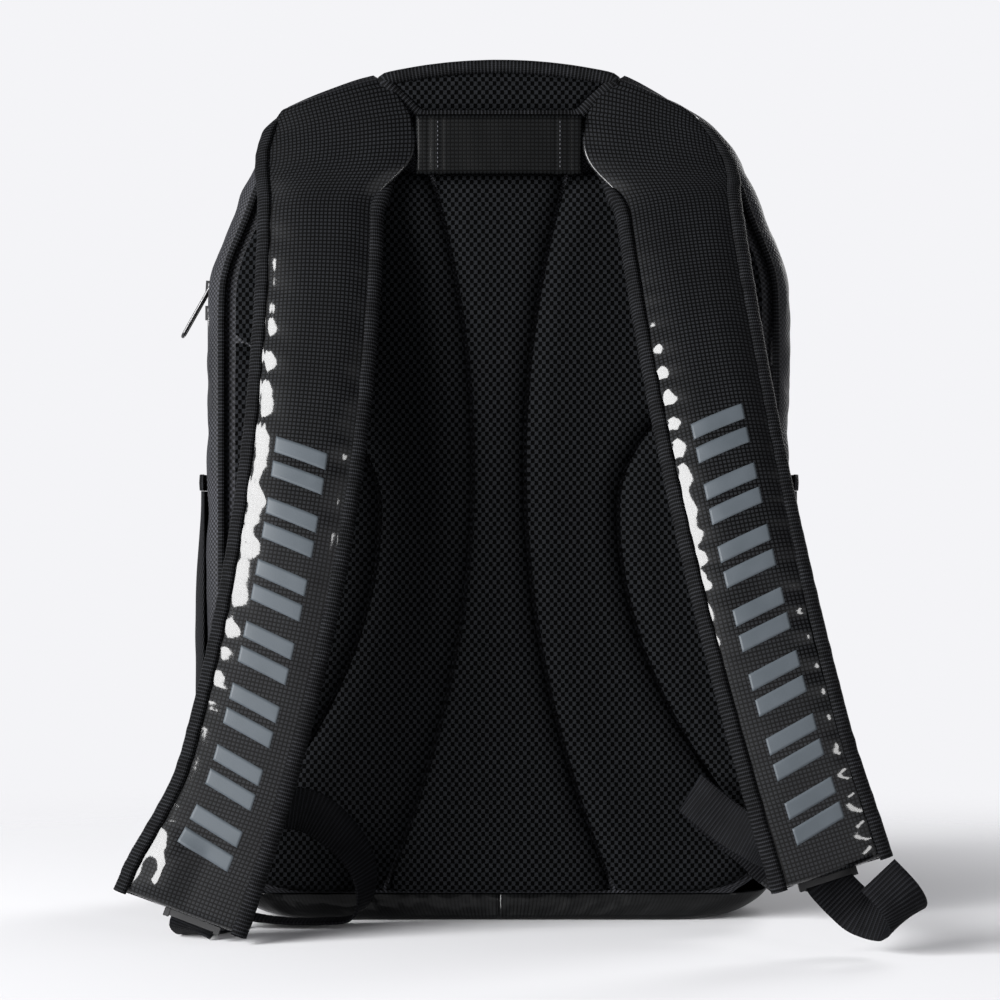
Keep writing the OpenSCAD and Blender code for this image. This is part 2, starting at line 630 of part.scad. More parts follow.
// A wire loop: its bar passes under the slider's bridge and lies on the pivot. It hangs towards -x.
module puller_shape() {
    half = 3.4;
    color("#17171a") {
        rotate([90, 0, 0]) cylinder(r = puller_r, h = 2 * half, center = true);
        for (edge = [-1, 1]) translate([0, edge * half, 0]) rotate([0, -90, 0])
            cylinder(r = puller_r, h = puller_l - half);
        translate([-puller_l + half, 0, 0]) intersection() {
            rotate_extrude() translate([half, 0]) circle(r = puller_r);
            translate([-2 * half, -2 * half, -half]) cube([2 * half, 4 * half, 2 * half]);
        }
        for (edge = [-1, 1]) translate([0, edge * half, 0]) sphere(r = puller_r);
        translate([-puller_l + half - 0.4, -half, -0.7]) cube([puller_l * 0.52, 2 * half, 1.4]);
    }
}
teeth_top = 1; // the main zip's teeth stand this far out of the wall
// Puts a child on the left side wall, with its x axis up the zip and its z axis outwards.
module on_left_zip(z) {
    translate([-half_w - teeth_top, zip_y, z]) rotate([0, -90, 0]) rotate([0, 0, 0]) children();
}
module on_left_shoulder(angle) {
    translate([-shoulder_x, zip_y, shoulder_z]) rotate([0, angle, 0])
        translate([-shoulder_r - teeth_top, 0, 0]) rotate([0, -90, 0]) children();
}
lower_slider_z = shoulder_z - slider_l / 2 - 1;
upper_slider_turn = (slider_l / 2 + 1) / shoulder_r * 180 / PI;
puller_lean = 26; // the upper puller rests on the lower slider at this angle
module lower_slider() { on_left_zip(lower_slider_z) slider_shape(); }
module lower_puller() { on_left_zip(lower_slider_z) translate([0, 0, pivot_h]) rotate([0, 0, 0]) puller_shape(); }
module upper_slider() { on_left_shoulder(upper_slider_turn) slider_shape(); }
module upper_puller() {
    on_left_shoulder(upper_slider_turn) translate([0, 0, pivot_h]) rotate([0, puller_lean, 0]) puller_shape();
}
pocket_slider_x = accessory_w / 2 - 14;
module on_accessory_zip() {
    translate([pocket_slider_x, accessory_face(accessory_zip_z) + tape_t + 1.2, accessory_zip_z])
        rotate([-90 - atan(accessory_slope), 0, 0]) children();
}
module pocket_slider() { on_accessory_zip() slider_shape(); }
module pocket_puller() { on_accessory_zip() translate([0, 0, pivot_h]) puller_shape(); }

rear_panel();
frame_sheet();
back_foam();
rear_lining();
centre_back_pad();
back_pad(-1);  // left_back_pad
back_pad(1);  // right_back_pad
hip_pad(-1);  // left_hip_pad
hip_pad(1);  // right_hip_pad
neck_pad();
neck_binding();
rear_piping();
side_gusset();
base_panel();
base_board();
lower_front_panel();
rear_zip_tape();
gusset_lining();
laptop_sleeve();
yoke(-1);  // left_yoke
yoke(1);  // right_yoke
handle_tabs();
bottle_pocket(-1);  // left_bottle_pocket
bottle_pocket(1);  // right_bottle_pocket
bottle_pocket_hems();
lower_webbing(-1);  // left_lower_webbing
lower_webbing(1);  // right_lower_webbing
webbing_anchors();
strap_cover(-1);  // left_strap_cover
strap_foam(-1);  // left_strap_foam
strap_lining(-1);  // left_strap_lining
strap_binding(-1);  // left_strap_binding
lock_loop(-1);  // left_lock_loop
strap_cover(1);  // right_strap_cover
strap_foam(1);  // right_strap_foam
strap_lining(1);  // right_strap_lining
strap_binding(1);  // right_strap_binding
lock_loop(1);  // right_lock_loop
ladder_lock(-1);  // left_ladder_lock
webbing_tail(-1);  // left_webbing_tail
ladder_lock(1);  // right_ladder_lock
webbing_tail(1);  // right_webbing_tail
handle_cover();
handle_core();
flap_walls();
flap_face();
flap_lining();
front_zip_tape();
racket_sleeve();
sleeve_hem();
accessory_pocket();
accessory_zip();
upper_slider();
upper_puller();
lower_slider();
lower_puller();
pocket_slider();
pocket_puller();
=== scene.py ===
import math

import bmesh
import bpy
from mathutils import Matrix, Vector, noise


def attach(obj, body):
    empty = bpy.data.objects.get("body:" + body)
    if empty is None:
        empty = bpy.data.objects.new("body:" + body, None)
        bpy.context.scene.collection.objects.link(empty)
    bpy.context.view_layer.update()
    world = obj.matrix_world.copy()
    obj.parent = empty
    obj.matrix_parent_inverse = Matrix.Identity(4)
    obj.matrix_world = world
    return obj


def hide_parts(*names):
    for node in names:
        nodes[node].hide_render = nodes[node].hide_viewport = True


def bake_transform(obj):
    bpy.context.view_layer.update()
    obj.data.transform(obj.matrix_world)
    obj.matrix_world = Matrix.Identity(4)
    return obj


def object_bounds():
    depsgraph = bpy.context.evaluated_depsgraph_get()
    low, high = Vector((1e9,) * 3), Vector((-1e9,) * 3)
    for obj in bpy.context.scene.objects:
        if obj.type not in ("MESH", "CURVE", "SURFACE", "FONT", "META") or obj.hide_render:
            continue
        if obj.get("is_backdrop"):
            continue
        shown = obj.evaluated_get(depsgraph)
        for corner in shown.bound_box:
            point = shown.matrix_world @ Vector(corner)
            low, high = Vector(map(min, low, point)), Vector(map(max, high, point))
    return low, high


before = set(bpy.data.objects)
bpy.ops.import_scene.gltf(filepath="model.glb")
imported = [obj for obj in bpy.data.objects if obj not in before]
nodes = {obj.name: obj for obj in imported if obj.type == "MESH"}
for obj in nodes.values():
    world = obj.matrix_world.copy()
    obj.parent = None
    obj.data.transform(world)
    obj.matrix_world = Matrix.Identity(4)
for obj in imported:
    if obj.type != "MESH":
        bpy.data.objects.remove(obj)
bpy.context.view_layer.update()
print("frame loaded:", len(nodes), "nodes")

# Shapes are worked out in millimetres and become metres when their mesh is made.
mm = 0.001
bag = dict(
    halfWidth=172, height=500, back=-80, wallEnd=12, zip=18.7, wallStart=25.7, front=89.7,
    rearRadius=14, frontRadius=30, cornerRadius=50, shoulder=(47, 366.5, 125),
    crown=(0, 240.8, 259.2), shoulderTurn=math.radians(69.5), base=16, fold=72, taper=0.35,
    frontSlope=0.0497,  # how far the front leans back for each mm of height
)


# ---- camera, floor and lights ----
studio = dict(
    camera=(0.0006, -2.005, 0.2448), lens=119.2,
    horizon="#f4f4f7", zenith="#5c5c60",
    keyPlace=(-2.25, -2.1, 0.95), keySize=(0.95, 2.5), keyPower=380,
    fillPlace=(1.8, -2.2, 0.32), fillSize=(0.22, 0.85), fillPower=18,
    backPlace=(1.7, 2.3, 1.5), backSize=(1.2, 1.6), backPower=70,
)


def srgb(code):
    parts = [int(code[i:i + 2], 16) / 255 for i in (1, 3, 5)]
    return [c / 12.92 if c <= 0.04045 else ((c + 0.055) / 1.055) ** 2.4 for c in parts] + [1.0]


def addNode(tree, kind, settings=None, inputs=None):
    node = tree.nodes.new(kind)
    for key, value in (settings or {}).items():
        setattr(node, key, value)
    for key, value in (inputs or {}).items():
        if isinstance(value, bpy.types.NodeSocket):
            tree.links.new(value, node.inputs[key])
        else:
            node.inputs[key].default_value = value
    return node


def newMaterial(name):
    material = bpy.data.materials.new(name)
    material.use_nodes = True
    tree = material.node_tree
    tree.nodes.clear()
    shader = addNode(tree, "ShaderNodeBsdfPrincipled")
    addNode(tree, "ShaderNodeOutputMaterial", None, {"Surface": shader.outputs["BSDF"]})
    return material, tree, shader


scene = bpy.context.scene
camera = bpy.data.objects.new("camera", bpy.data.cameras.new("camera"))
scene.collection.objects.link(camera)
camera.location = studio["camera"]
camera.rotation_euler = (math.radians(90), 0, 0)
camera.data.lens = studio["lens"]
camera.data.sensor_width = 36
camera.data.clip_end = 50
scene.camera = camera

world = bpy.data.worlds.new("studio")
scene.world = world
world.use_nodes = True
sky = world.node_tree
ray = addNode(sky, "ShaderNodeTexCoord").outputs["Generated"]
height = addNode(sky, "ShaderNodeSeparateXYZ", None, {0: ray}).outputs["Z"]
rise = addNode(sky, "ShaderNodeMapRange", {"interpolation_type": "SMOOTHSTEP"},
               {"Value": height, "From Min": 0.17, "From Max": 0.5})  # a white room under a dim ceiling
tone = addNode(sky, "ShaderNodeMix", {"data_type": "RGBA"},
               {"Factor": rise.outputs["Result"], 6: srgb(studio["horizon"]), 7: srgb(studio["zenith"])})
sky.links.new(tone.outputs[2], sky.nodes["Background"].inputs["Color"])
scene.view_settings.view_transform = "Standard"


def areaLight(name, place, size, power, aim):
    data = bpy.data.lights.new(name, "AREA")
    data.shape = "RECTANGLE"
    data.size, data.size_y = size
    data.energy = power
    light = bpy.data.objects.new(name, data)
    scene.collection.objects.link(light)
    light.location = place
    light.rotation_euler = (Vector(aim) - Vector(place)).to_track_quat("-Z", "Z").to_euler()


areaLight("keyStrip", studio["keyPlace"], studio["keySize"], studio["keyPower"], (0, -0.1, 0.3))
areaLight("fillStrip", studio["fillPlace"], studio["fillSize"], studio["fillPower"], (0, -0.1, 0.25))
areaLight("backPanel", studio["backPlace"], studio["backSize"], studio["backPower"], (0, 0, 0.3))

floorMaterial, tree, shader = newMaterial("paperFloor")  # white paper sweep that fades into the background
place = addNode(tree, "ShaderNodeTexCoord").outputs["Object"]
far = addNode(tree, "ShaderNodeVectorMath", {"operation": "LENGTH"}, {0: place}).outputs["Value"]
fade = addNode(tree, "ShaderNodeMapRange", {"interpolation_type": "SMOOTHSTEP"},
               {"Value": far, "From Min": 0.18, "From Max": 0.9, "To Min": 1.0, "To Max": 0.0})
shader.inputs["Base Color"].default_value = srgb("#cfcfd1")
shader.inputs["Roughness"].default_value = 0.9
shader.inputs["Specular IOR Level"].default_value = 0.0
tree.links.new(fade.outputs["Result"], shader.inputs["Alpha"])
bm = bmesh.new()
bmesh.ops.create_circle(bm, cap_ends=True, segments=96, radius=1.0)
floorMesh = bpy.data.meshes.new("floor")
bm.to_mesh(floorMesh)
bm.free()
floor = bpy.data.objects.new("floor", floorMesh)
floorMesh.materials.append(floorMaterial)
scene.collection.objects.link(floor)
floor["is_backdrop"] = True
print("studio ready")


# ---- materials ----
def laminateMaterial(name, film, light):
    # PVC-coated polyester laminate: a woven square grid under a clear glossy film.
    material, tree, shader = newMaterial(name)
    uv = addNode(tree, "ShaderNodeUVMap").outputs["UV"]
    parts = addNode(tree, "ShaderNodeSeparateXYZ", None, {0: uv}).outputs
    cell = 0.0023
    sides = []
    for part in (parts["X"], parts["Y"]):
        scaled = addNode(tree, "ShaderNodeMath", {"operation": "MULTIPLY"}, {0: part, 1: 1 / cell})
        cut = addNode(tree, "ShaderNodeMath", {"operation": "FRACT"}, {0: scaled.outputs[0]})
        centred = addNode(tree, "ShaderNodeMath", {"operation": "SUBTRACT"}, {0: cut.outputs[0], 1: 0.5})
        away = addNode(tree, "ShaderNodeMath", {"operation": "ABSOLUTE"}, {0: centred.outputs[0]})
        inside = addNode(tree, "ShaderNodeMapRange", {"interpolation_type": "SMOOTHSTEP"},
                         {"Value": away.outputs[0], "From Min": 0.24, "From Max": 0.38,
                          "To Min": 1.0, "To Max": 0.0})
        sides.append(inside.outputs["Result"])
    square = addNode(tree, "ShaderNodeMath", {"operation": "MULTIPLY"}, {0: sides[0], 1: sides[1]}).outputs[0]
    place = addNode(tree, "ShaderNodeTexCoord").outputs["Object"]
    cloud = addNode(tree, "ShaderNodeTexNoise", None, {"Vector": place, "Scale": 45.0, "Detail": 3.0}).outputs["Fac"]
    shade = addNode(tree, "ShaderNodeMapRange", None,
                    {"Value": cloud, "From Min": 0.3, "From Max": 0.7, "To Min": 0.75, "To Max": 1.0})
    amount = addNode(tree, "ShaderNodeMath", {"operation": "MULTIPLY"},
                     {0: square, 1: shade.outputs["Result"]}).outputs[0]
    colour = addNode(tree, "ShaderNodeMix", {"data_type": "RGBA"},
                     {"Factor": amount, 6: srgb("#010101"), 7: srgb(light)})
    tree.links.new(colour.outputs[2], shader.inputs["Base Color"])
    fine = addNode(tree, "ShaderNodeTexNoise", None, {"Vector": place, "Scale": 260.0, "Detail": 2.0}).outputs["Fac"]
    weave = addNode(tree, "ShaderNodeBump", None, {"Strength": 0.35, "Distance": 0.0002, "Height": square})
    swell = addNode(tree, "ShaderNodeBump", None, {"Strength": 0.12, "Distance": 0.0003, "Height": fine})
    tree.links.new(weave.outputs["Normal"], shader.inputs["Normal"])
    tree.links.new(swell.outputs["Normal"], shader.inputs["Coat Normal"])
    shader.inputs["Roughness"].default_value = 0.5
    shader.inputs["Specular IOR Level"].default_value = 0.04
    shader.inputs["Coat Weight"].default_value = film
    shader.inputs["Coat Roughness"].default_value = 0.07
    shader.inputs["Coat IOR"].default_value = 1.36
    return material


def airMeshMaterial():
    # Polyester spacer mesh: rows of oval holes knitted in a thick matt fabric.
    material, tree, shader = newMaterial("spacerMesh")
    place = addNode(tree, "ShaderNodeTexCoord").outputs["Object"]
    wobble = addNode(tree, "ShaderNodeTexNoise", None, {"Vector": place, "Scale": 55.0, "Detail": 1.0})
    shift = addNode(tree, "ShaderNodeVectorMath", {"operation": "SCALE"}, {0: wobble.outputs["Color"], "Scale": 0.0006})
    moved = addNode(tree, "ShaderNodeVectorMath", {"operation": "ADD"}, {0: place, 1: shift.outputs[0]})
    parts = addNode(tree, "ShaderNodeSeparateXYZ", None, {0: moved.outputs[0]}).outputs
    waves = []
    for part, pitch in ((parts["X"], 0.0044), (parts["Z"], 0.0052)):
        turn = addNode(tree, "ShaderNodeMath", {"operation": "MULTIPLY"}, {0: part, 1: 2 * math.pi / pitch})
        waves.append(addNode(tree, "ShaderNodeMath", {"operation": "COSINE"}, {0: turn.outputs[0]}).outputs[0])
    product = addNode(tree, "ShaderNodeMath", {"operation": "MULTIPLY"}, {0: waves[0], 1: waves[1]}).outputs[0]
    # Holes stand where both waves agree, so every other row is shifted by half a pitch.
    yarn = addNode(tree, "ShaderNodeMapRange", {"interpolation_type": "SMOOTHSTEP"},
                   {"Value": product, "From Min": -0.1, "From Max": 0.26, "To Min": 1.0, "To Max": 0.0}).outputs["Result"]
    knit = addNode(tree, "ShaderNodeTexNoise", None, {"Vector": place, "Scale": 900.0, "Detail": 2.0}).outputs["Fac"]
    loops = addNode(tree, "ShaderNodeMapRange", None,
                    {"Value": knit, "From Min": 0.35, "From Max": 0.7, "To Min": 0.6, "To Max": 1.0}).outputs["Result"]
    lit = addNode(tree, "ShaderNodeMath", {"operation": "MULTIPLY"}, {0: yarn, 1: loops}).outputs[0]
    # The holes are painted pure black: painted shade in their depth, darker than the black yarn around them.
    colour = addNode(tree, "ShaderNodeMix", {"data_type": "RGBA"},
                     {"Factor": lit, 6: srgb("#000000"), 7: srgb("#151618")})
    tree.links.new(colour.outputs[2], shader.inputs["Base Color"])
    bump = addNode(tree, "ShaderNodeBump", None, {"Strength": 1.0, "Distance": 0.0014, "Height": yarn})
    tree.links.new(bump.outputs["Normal"], shader.inputs["Normal"])
    shader.inputs["Roughness"].default_value = 0.85
    shader.inputs["Specular IOR Level"].default_value = 0.02
    return material


def ribbedMaterial(name, pitch, dark, light, rough, edgeLine):
    # Woven polyester tape: crosswise ribs of a heavy weft, with a little shine on each rib painted in as a lighter
    # colour (painted highlight) and painted shade in the grooves between them.
    material, tree, shader = newMaterial(name)
    uv = addNode(tree, "ShaderNodeUVMap").outputs["UV"]
    parts = addNode(tree, "ShaderNodeSeparateXYZ", None, {0: uv}).outputs
    turn = addNode(tree, "ShaderNodeMath", {"operation": "MULTIPLY"}, {0: parts["Y"], 1: 2 * math.pi / pitch})
    wave = addNode(tree, "ShaderNodeMath", {"operation": "SINE"}, {0: turn.outputs[0]}).outputs[0]
    rib = addNode(tree, "ShaderNodeMapRange", {"interpolation_type": "SMOOTHSTEP"},
                  {"Value": wave, "From Min": -0.5, "From Max": 0.9}).outputs["Result"]
    warp = addNode(tree, "ShaderNodeMath", {"operation": "MULTIPLY"}, {0: parts["X"], 1: 2 * math.pi / 0.0011})
    yarn = addNode(tree, "ShaderNodeMath", {"operation": "SINE"}, {0: warp.outputs[0]}).outputs[0]
    mixed = addNode(tree, "ShaderNodeMath", {"operation": "MULTIPLY_ADD"}, {0: yarn, 1: edgeLine, 2: rib}).outputs[0]
    place = addNode(tree, "ShaderNodeTexCoord").outputs["Object"]
    cloud = addNode(tree, "ShaderNodeTexNoise", None, {"Vector": place, "Scale": 120.0, "Detail": 3.0}).outputs["Fac"]
    amount = addNode(tree, "ShaderNodeMath", {"operation": "MULTIPLY"}, {0: mixed, 1: cloud}).outputs[0]
    # Colour: painted highlight on each rib top and painted shade in the grooves, varied by random tone.
    colour = addNode(tree, "ShaderNodeMix", {"data_type": "RGBA"},
                     {"Factor": amount, 6: srgb(dark), 7: srgb(light)})
    tree.links.new(colour.outputs[2], shader.inputs["Base Color"])
    bump = addNode(tree, "ShaderNodeBump", None, {"Strength": 0.8, "Distance": 0.0004, "Height": mixed})
    tree.links.new(bump.outputs["Normal"], shader.inputs["Normal"])
    shader.inputs["Roughness"].default_value = rough
    shader.inputs["Specular IOR Level"].default_value = 0.05
    return material


def clothMaterial(name, pitch, dark, light, rough, shine, strength):
    # Plain woven cloth: over-and-under threads on the piece's own UV, with cloudy wear.
    material, tree, shader = newMaterial(name)
    uv = addNode(tree, "ShaderNodeUVMap").outputs["UV"]
    parts = addNode(tree, "ShaderNodeSeparateXYZ", None, {0: uv}).outputs
    waves = []
    for part in (parts["X"], parts["Y"]):
        turn = addNode(tree, "ShaderNodeMath", {"operation": "MULTIPLY"}, {0: part, 1: math.pi / pitch})
        waves.append(addNode(tree, "ShaderNodeMath", {"operation": "SINE"}, {0: turn.outputs[0]}).outputs[0])
    weave = addNode(tree, "ShaderNodeMath", {"operation": "MULTIPLY_ADD"},
                    {0: waves[0], 1: waves[1], 2: 0.5}).outputs[0]
    place = addNode(tree, "ShaderNodeTexCoord").outputs["Object"]
    cloud = addNode(tree, "ShaderNodeTexNoise", None, {"Vector": place, "Scale": 18.0, "Detail": 5.0}).outputs["Fac"]
    amount = addNode(tree, "ShaderNodeMath", {"operation": "MULTIPLY"}, {0: weave, 1: cloud}).outputs[0]
    colour = addNode(tree, "ShaderNodeMix", {"data_type": "RGBA"},
                     {"Factor": amount, 6: srgb(dark), 7: srgb(light)})
    tree.links.new(colour.outputs[2], shader.inputs["Base Color"])
    bump = addNode(tree, "ShaderNodeBump", None, {"Strength": strength, "Distance": 0.0003, "Height": weave})
    tree.links.new(bump.outputs["Normal"], shader.inputs["Normal"])
    worn = addNode(tree, "ShaderNodeMapRange", None,
                   {"Value": cloud, "From Min": 0.3, "From Max": 0.7, "To Min": rough - 0.06, "To Max": rough + 0.08})
    tree.links.new(worn.outputs["Result"], shader.inputs["Roughness"])
    shader.inputs["Specular IOR Level"].default_value = shine
    return material


def solidMaterial(name, dark, light, rough, shine, grain, metal=0.0, coat=0.0):
    # Moulded, cast or foamed stuff: a fine grain from its making and a slight unevenness.
    material, tree, shader = newMaterial(name)
    place = addNode(tree, "ShaderNodeTexCoord").outputs["Object"]
    cells = addNode(tree, "ShaderNodeTexNoise", None, {"Vector": place, "Scale": 1 / grain, "Detail": 4.0}).outputs["Fac"]
    cloud = addNode(tree, "ShaderNodeTexNoise", None, {"Vector": place, "Scale": 60.0, "Detail": 2.0}).outputs["Fac"]
    colour = addNode(tree, "ShaderNodeMix", {"data_type": "RGBA"},
                     {"Factor": cloud, 6: srgb(dark), 7: srgb(light)})
    tree.links.new(colour.outputs[2], shader.inputs["Base Color"])
    bump = addNode(tree, "ShaderNodeBump", None, {"Strength": 0.3, "Distance": grain * 0.3, "Height": cells})
    tree.links.new(bump.outputs["Normal"], shader.inputs["Normal"])
    worn = addNode(tree, "ShaderNodeMapRange", None,
                   {"Value": cloud, "From Min": 0.3, "From Max": 0.7, "To Min": rough - 0.05, "To Max": rough + 0.08})
    tree.links.new(worn.outputs["Result"], shader.inputs["Roughness"])
    shader.inputs["Metallic"].default_value = metal
    shader.inputs["Specular IOR Level"].default_value = shine
    shader.inputs["Coat Weight"].default_value = coat
    shader.inputs["Coat Roughness"].default_value = 0.15
    return material


laminate = laminateMaterial("pvcLaminate", 0.62, "#17181a")
softLaminate = laminateMaterial("softPvcLaminate", 0.05, "#0b0c0d")  # handled parts, where the film has dulled
baseLaminate = laminateMaterial("basePvcLaminate", 0.3, "#101112")
airMesh = airMeshMaterial()
grosgrain = ribbedMaterial("grosgrainBinding", 0.0021, "#010101", "#232427", 0.75, 0.25)
webbing = ribbedMaterial("polyesterWebbing", 0.0022, "#020203", "#16171a", 0.65, 0.15)
shellNylon = clothMaterial("oxfordNylon", 0.0015, "#040405", "#323338", 0.62, 0.15, 0.7)
stretchMesh = clothMaterial("stretchKnit", 0.0016, "#050506", "#1c1d20", 0.8, 0.1, 0.9)
liningCloth = clothMaterial("liningTaffeta", 0.0008, "#34373b", "#6a6e74", 0.6, 0.3, 0.25)
tapeCloth = clothMaterial("zipTapeTwill", 0.0010, "#050506", "#18191c", 0.75, 0.12, 0.5)
zipCoil = ribbedMaterial("nylonZipCoil", 0.0017, "#030304", "#242528", 0.38, 0.0)
acetal = solidMaterial("mouldedAcetal", "#060607", "#0f0f11", 0.5, 0.25, 0.0006)
paintedZinc = solidMaterial("paintedZincCasting", "#0b0b0c", "#18181b", 0.28, 0.5, 0.0009, 0.35, 0.5)
foamMaterial = solidMaterial("polyethyleneFoam", "#2c2c2f", "#47474b", 0.9, 0.2, 0.0012)
sheetPlastic = solidMaterial("extrudedPolyethylene", "#0c0c0e", "#17171a", 0.5, 0.4, 0.0010)
thread = solidMaterial("bondedNylonThread", "#15161a", "#3a3b40", 0.55, 0.4, 0.0005)
ink = solidMaterial("screenPrintInk", "#31363a", "#3a3f44", 0.5, 0.2, 0.0006)
print("materials ready")


# ---- builders ----
def ease(a, b, x):
    t = min(1.0, max(0.0, (x - a) / (b - a)))
    return t * t * (3 - 2 * t)


def lerp(a, b, t):
    return a + (b - a) * t


def ripple(x, y, size, seed=0.0):
    return noise.noise(Vector((x / size, y / size, seed)))


def dome(distance, radius):
    # Height share of a rounded edge, from 0 at the seam to 1 past its radius.
    t = 1 - min(1.0, max(0.0, distance) / radius)
    return math.sqrt(max(0.0, 1 - t * t))


def gridIn(bm, place, across, along, size, uv=None):
    layer = bm.loops.layers.uv.verify()
    made = bmesh.ops.create_grid(bm, x_segments=across, y_segments=along, size=0.5, calc_uvs=True)["verts"]
    spots = {}
    for vert in made:
        u, v = min(1.0, max(0.0, vert.co.x + 0.5)), min(1.0, max(0.0, vert.co.y + 0.5))
        spots[vert] = (u, v)
        vert.co = Vector(place(u, v)) * mm
    faces = {f for vert in made for f in vert.link_faces}
    for face in faces:
        for loop in face.loops:
            u, v = spots[loop.vert]
            loop[layer].uv = Vector(uv(u, v)) * mm if uv else (u * size[0] * mm, v * size[1] * mm)
    return made


def finishPiece(name, bm, material, body, replaces, smooth=True):
    mesh = bpy.data.meshes.new(name)
    bm.to_mesh(mesh)
    bm.free()
    mesh.materials.append(material)
    for face in mesh.polygons:
        face.use_smooth = smooth
    piece = bpy.data.objects.new(name, mesh)
    scene.collection.objects.link(piece)
    if body:
        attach(piece, body)
    if replaces:
        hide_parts(*replaces)
    return piece


def sheetPiece(name, place, across, along, size, thickness, material, body,
               replaces=(), centre=(0, 0, 250), uv=None):
    # A cloth sheet: its grid is the face turned away from centre, and its thickness goes inwards.
    bm = bmesh.new()
    gridIn(bm, place, across, along, size, uv)
    bmesh.ops.remove_doubles(bm, verts=bm.verts[:], dist=1e-6)
    bmesh.ops.dissolve_degenerate(bm, dist=1e-7, edges=bm.edges[:])
    bm.normal_update()
    middle = Vector(centre) * mm
    if sum((f.calc_center_median() - middle).dot(f.normal) * f.calc_area() for f in bm.faces) < 0:
        bmesh.ops.reverse_faces(bm, faces=bm.faces[:])
        bm.normal_update()
    if thickness:
        bmesh.ops.solidify(bm, geom=bm.faces[:], thickness=thickness * mm)
        bmesh.ops.recalc_face_normals(bm, faces=bm.faces[:])
    return finishPiece(name, bm, material, body, replaces)


def pillowPiece(name, front, back, across, along, size, material, body, replaces=()):
    # A closed soft form from two grids that share their border.
    bm = bmesh.new()
    gridIn(bm, front, across, along, size)
    gridIn(bm, back, across, along, size)
    bmesh.ops.remove_doubles(bm, verts=bm.verts[:], dist=2e-5)
    bmesh.ops.recalc_face_normals(bm, faces=bm.faces[:])
    return finishPiece(name, bm, material, body, replaces)


def sweptInto(bm, stations, profile, closedPath=False):
    # stations: (point, side, up, length so far); profile: closed list of (side, up) offsets.
    count, last = len(profile), len(stations) - 1
    around = [0.0]
    for k in range(count):
        p, q = profile[k], profile[(k + 1) % count]
        around.append(around[-1] + math.hypot(q[0] - p[0], q[1] - p[1]))

    def place(u, v):
        p = profile[round(u * count) % count]
        point, side, up, _ = stations[round(v * last)]
        return point + side * p[0] + up * p[1]

    gridIn(bm, place, count, last, (1, 1), lambda u, v: (around[round(u * count)], stations[round(v * last)][3]))
    bmesh.ops.remove_doubles(bm, verts=bm.verts[:], dist=1e-6)
    if not closedPath:
        bmesh.ops.holes_fill(bm, edges=[e for e in bm.edges if e.is_boundary], sides=0)
    bmesh.ops.recalc_face_normals(bm, faces=bm.faces[:])


def addTo(whole, bm):
    part = bpy.data.meshes.new("part")
    bm.to_mesh(part)
    bm.free()
    whole.from_mesh(part)
    bpy.data.meshes.remove(part)


def sweptPiece(name, paths, profile, material, body, replaces=(), closedPath=False):
    whole = bmesh.new()
    for stations in paths:
        bm = bmesh.new()
        sweptInto(bm, stations, profile, closedPath)
        addTo(whole, bm)
    return finishPiece(name, whole, material, body, replaces)


def stationsOf(points, sideOf):
    # Stations along a polyline; sideOf(k, point, along) gives the sideways direction.
    found, total = [], 0.0
    for k, point in enumerate(points):
        before, after = points[max(0, k - 1)], points[min(len(points) - 1, k + 1)]
        along = (after - before).normalized()
        if k:
            total += (point - points[k - 1]).length
        side = sideOf(k, point, along)
        side = (side - along * side.dot(along)).normalized()
        found.append((point, side, along.cross(side).normalized(), total))
    return found


def roundProfile(width, height, steps=3):
    # A flat tape's section with round edges.
    half, r = width / 2, height / 2
    right = [(half - r + r * math.cos(a), r * math.sin(a))
             for a in [math.pi * (k / steps - 0.5) for k in range(steps + 1)]]
    left = [(-x, -y) for x, y in right]
    flat = [lerp(right[-1][0], left[0][0], k / 6) for k in range(1, 6)]
    return right + [(x, r) for x in flat] + left + [(-x, -r) for x in flat]


def circleProfile(r, steps=10):
    return [(r * math.cos(2 * math.pi * k / steps), r * math.sin(2 * math.pi * k / steps)) for k in range(steps)]


def spline(points, t):
    n = len(points) - 1
    k = min(n - 1, int(t * n))
    f = t * n - k
    a, b, c, d = points[max(0, k - 1)], points[k], points[k + 1], points[min(n, k + 2)]
    return 0.5 * (2 * b + (c - a) * f + (2 * a - 5 * b + 4 * c - d) * f * f + (3 * b - a - 3 * c + d) * f ** 3)


def stitchPiece(name, rows, body, width=0.7):
    # Each row: (points, out), a run of short thread lozenges lying on the cloth.
    bm = bmesh.new()
    for points, out in rows:
        for a, b in zip(points[:-1], points[1:]):
            along = b - a
            length = along.length
            side = along.cross(out).normalized()
            turn = Matrix((along.normalized() * length * 0.36, side * width * 0.5, out.normalized() * 0.35)).transposed()
            spot = Matrix.Translation((a + b) / 2 * mm) @ (turn * mm).to_4x4()
            bmesh.ops.create_icosphere(bm, subdivisions=1, radius=1.0, matrix=spot)
    bmesh.ops.recalc_face_normals(bm, faces=bm.faces[:])
    return finishPiece(name, bm, thread, body, ())


def softened(name, width, segments, material):
    node = nodes[name]
    bevel = node.modifiers.new("edges", "BEVEL")
    bevel.width = width * mm
    bevel.segments = segments
    bevel.limit_method = "ANGLE"
    bevel.angle_limit = math.radians(40)
    node.data.materials.clear()
    node.data.materials.append(material)
    return node


# ---- the bag's outline ----
def slump(z):
    # The filled cloth hangs a little narrower below its shoulders.
    return 6.5 * math.exp(-((z - 412) / 30) ** 2)


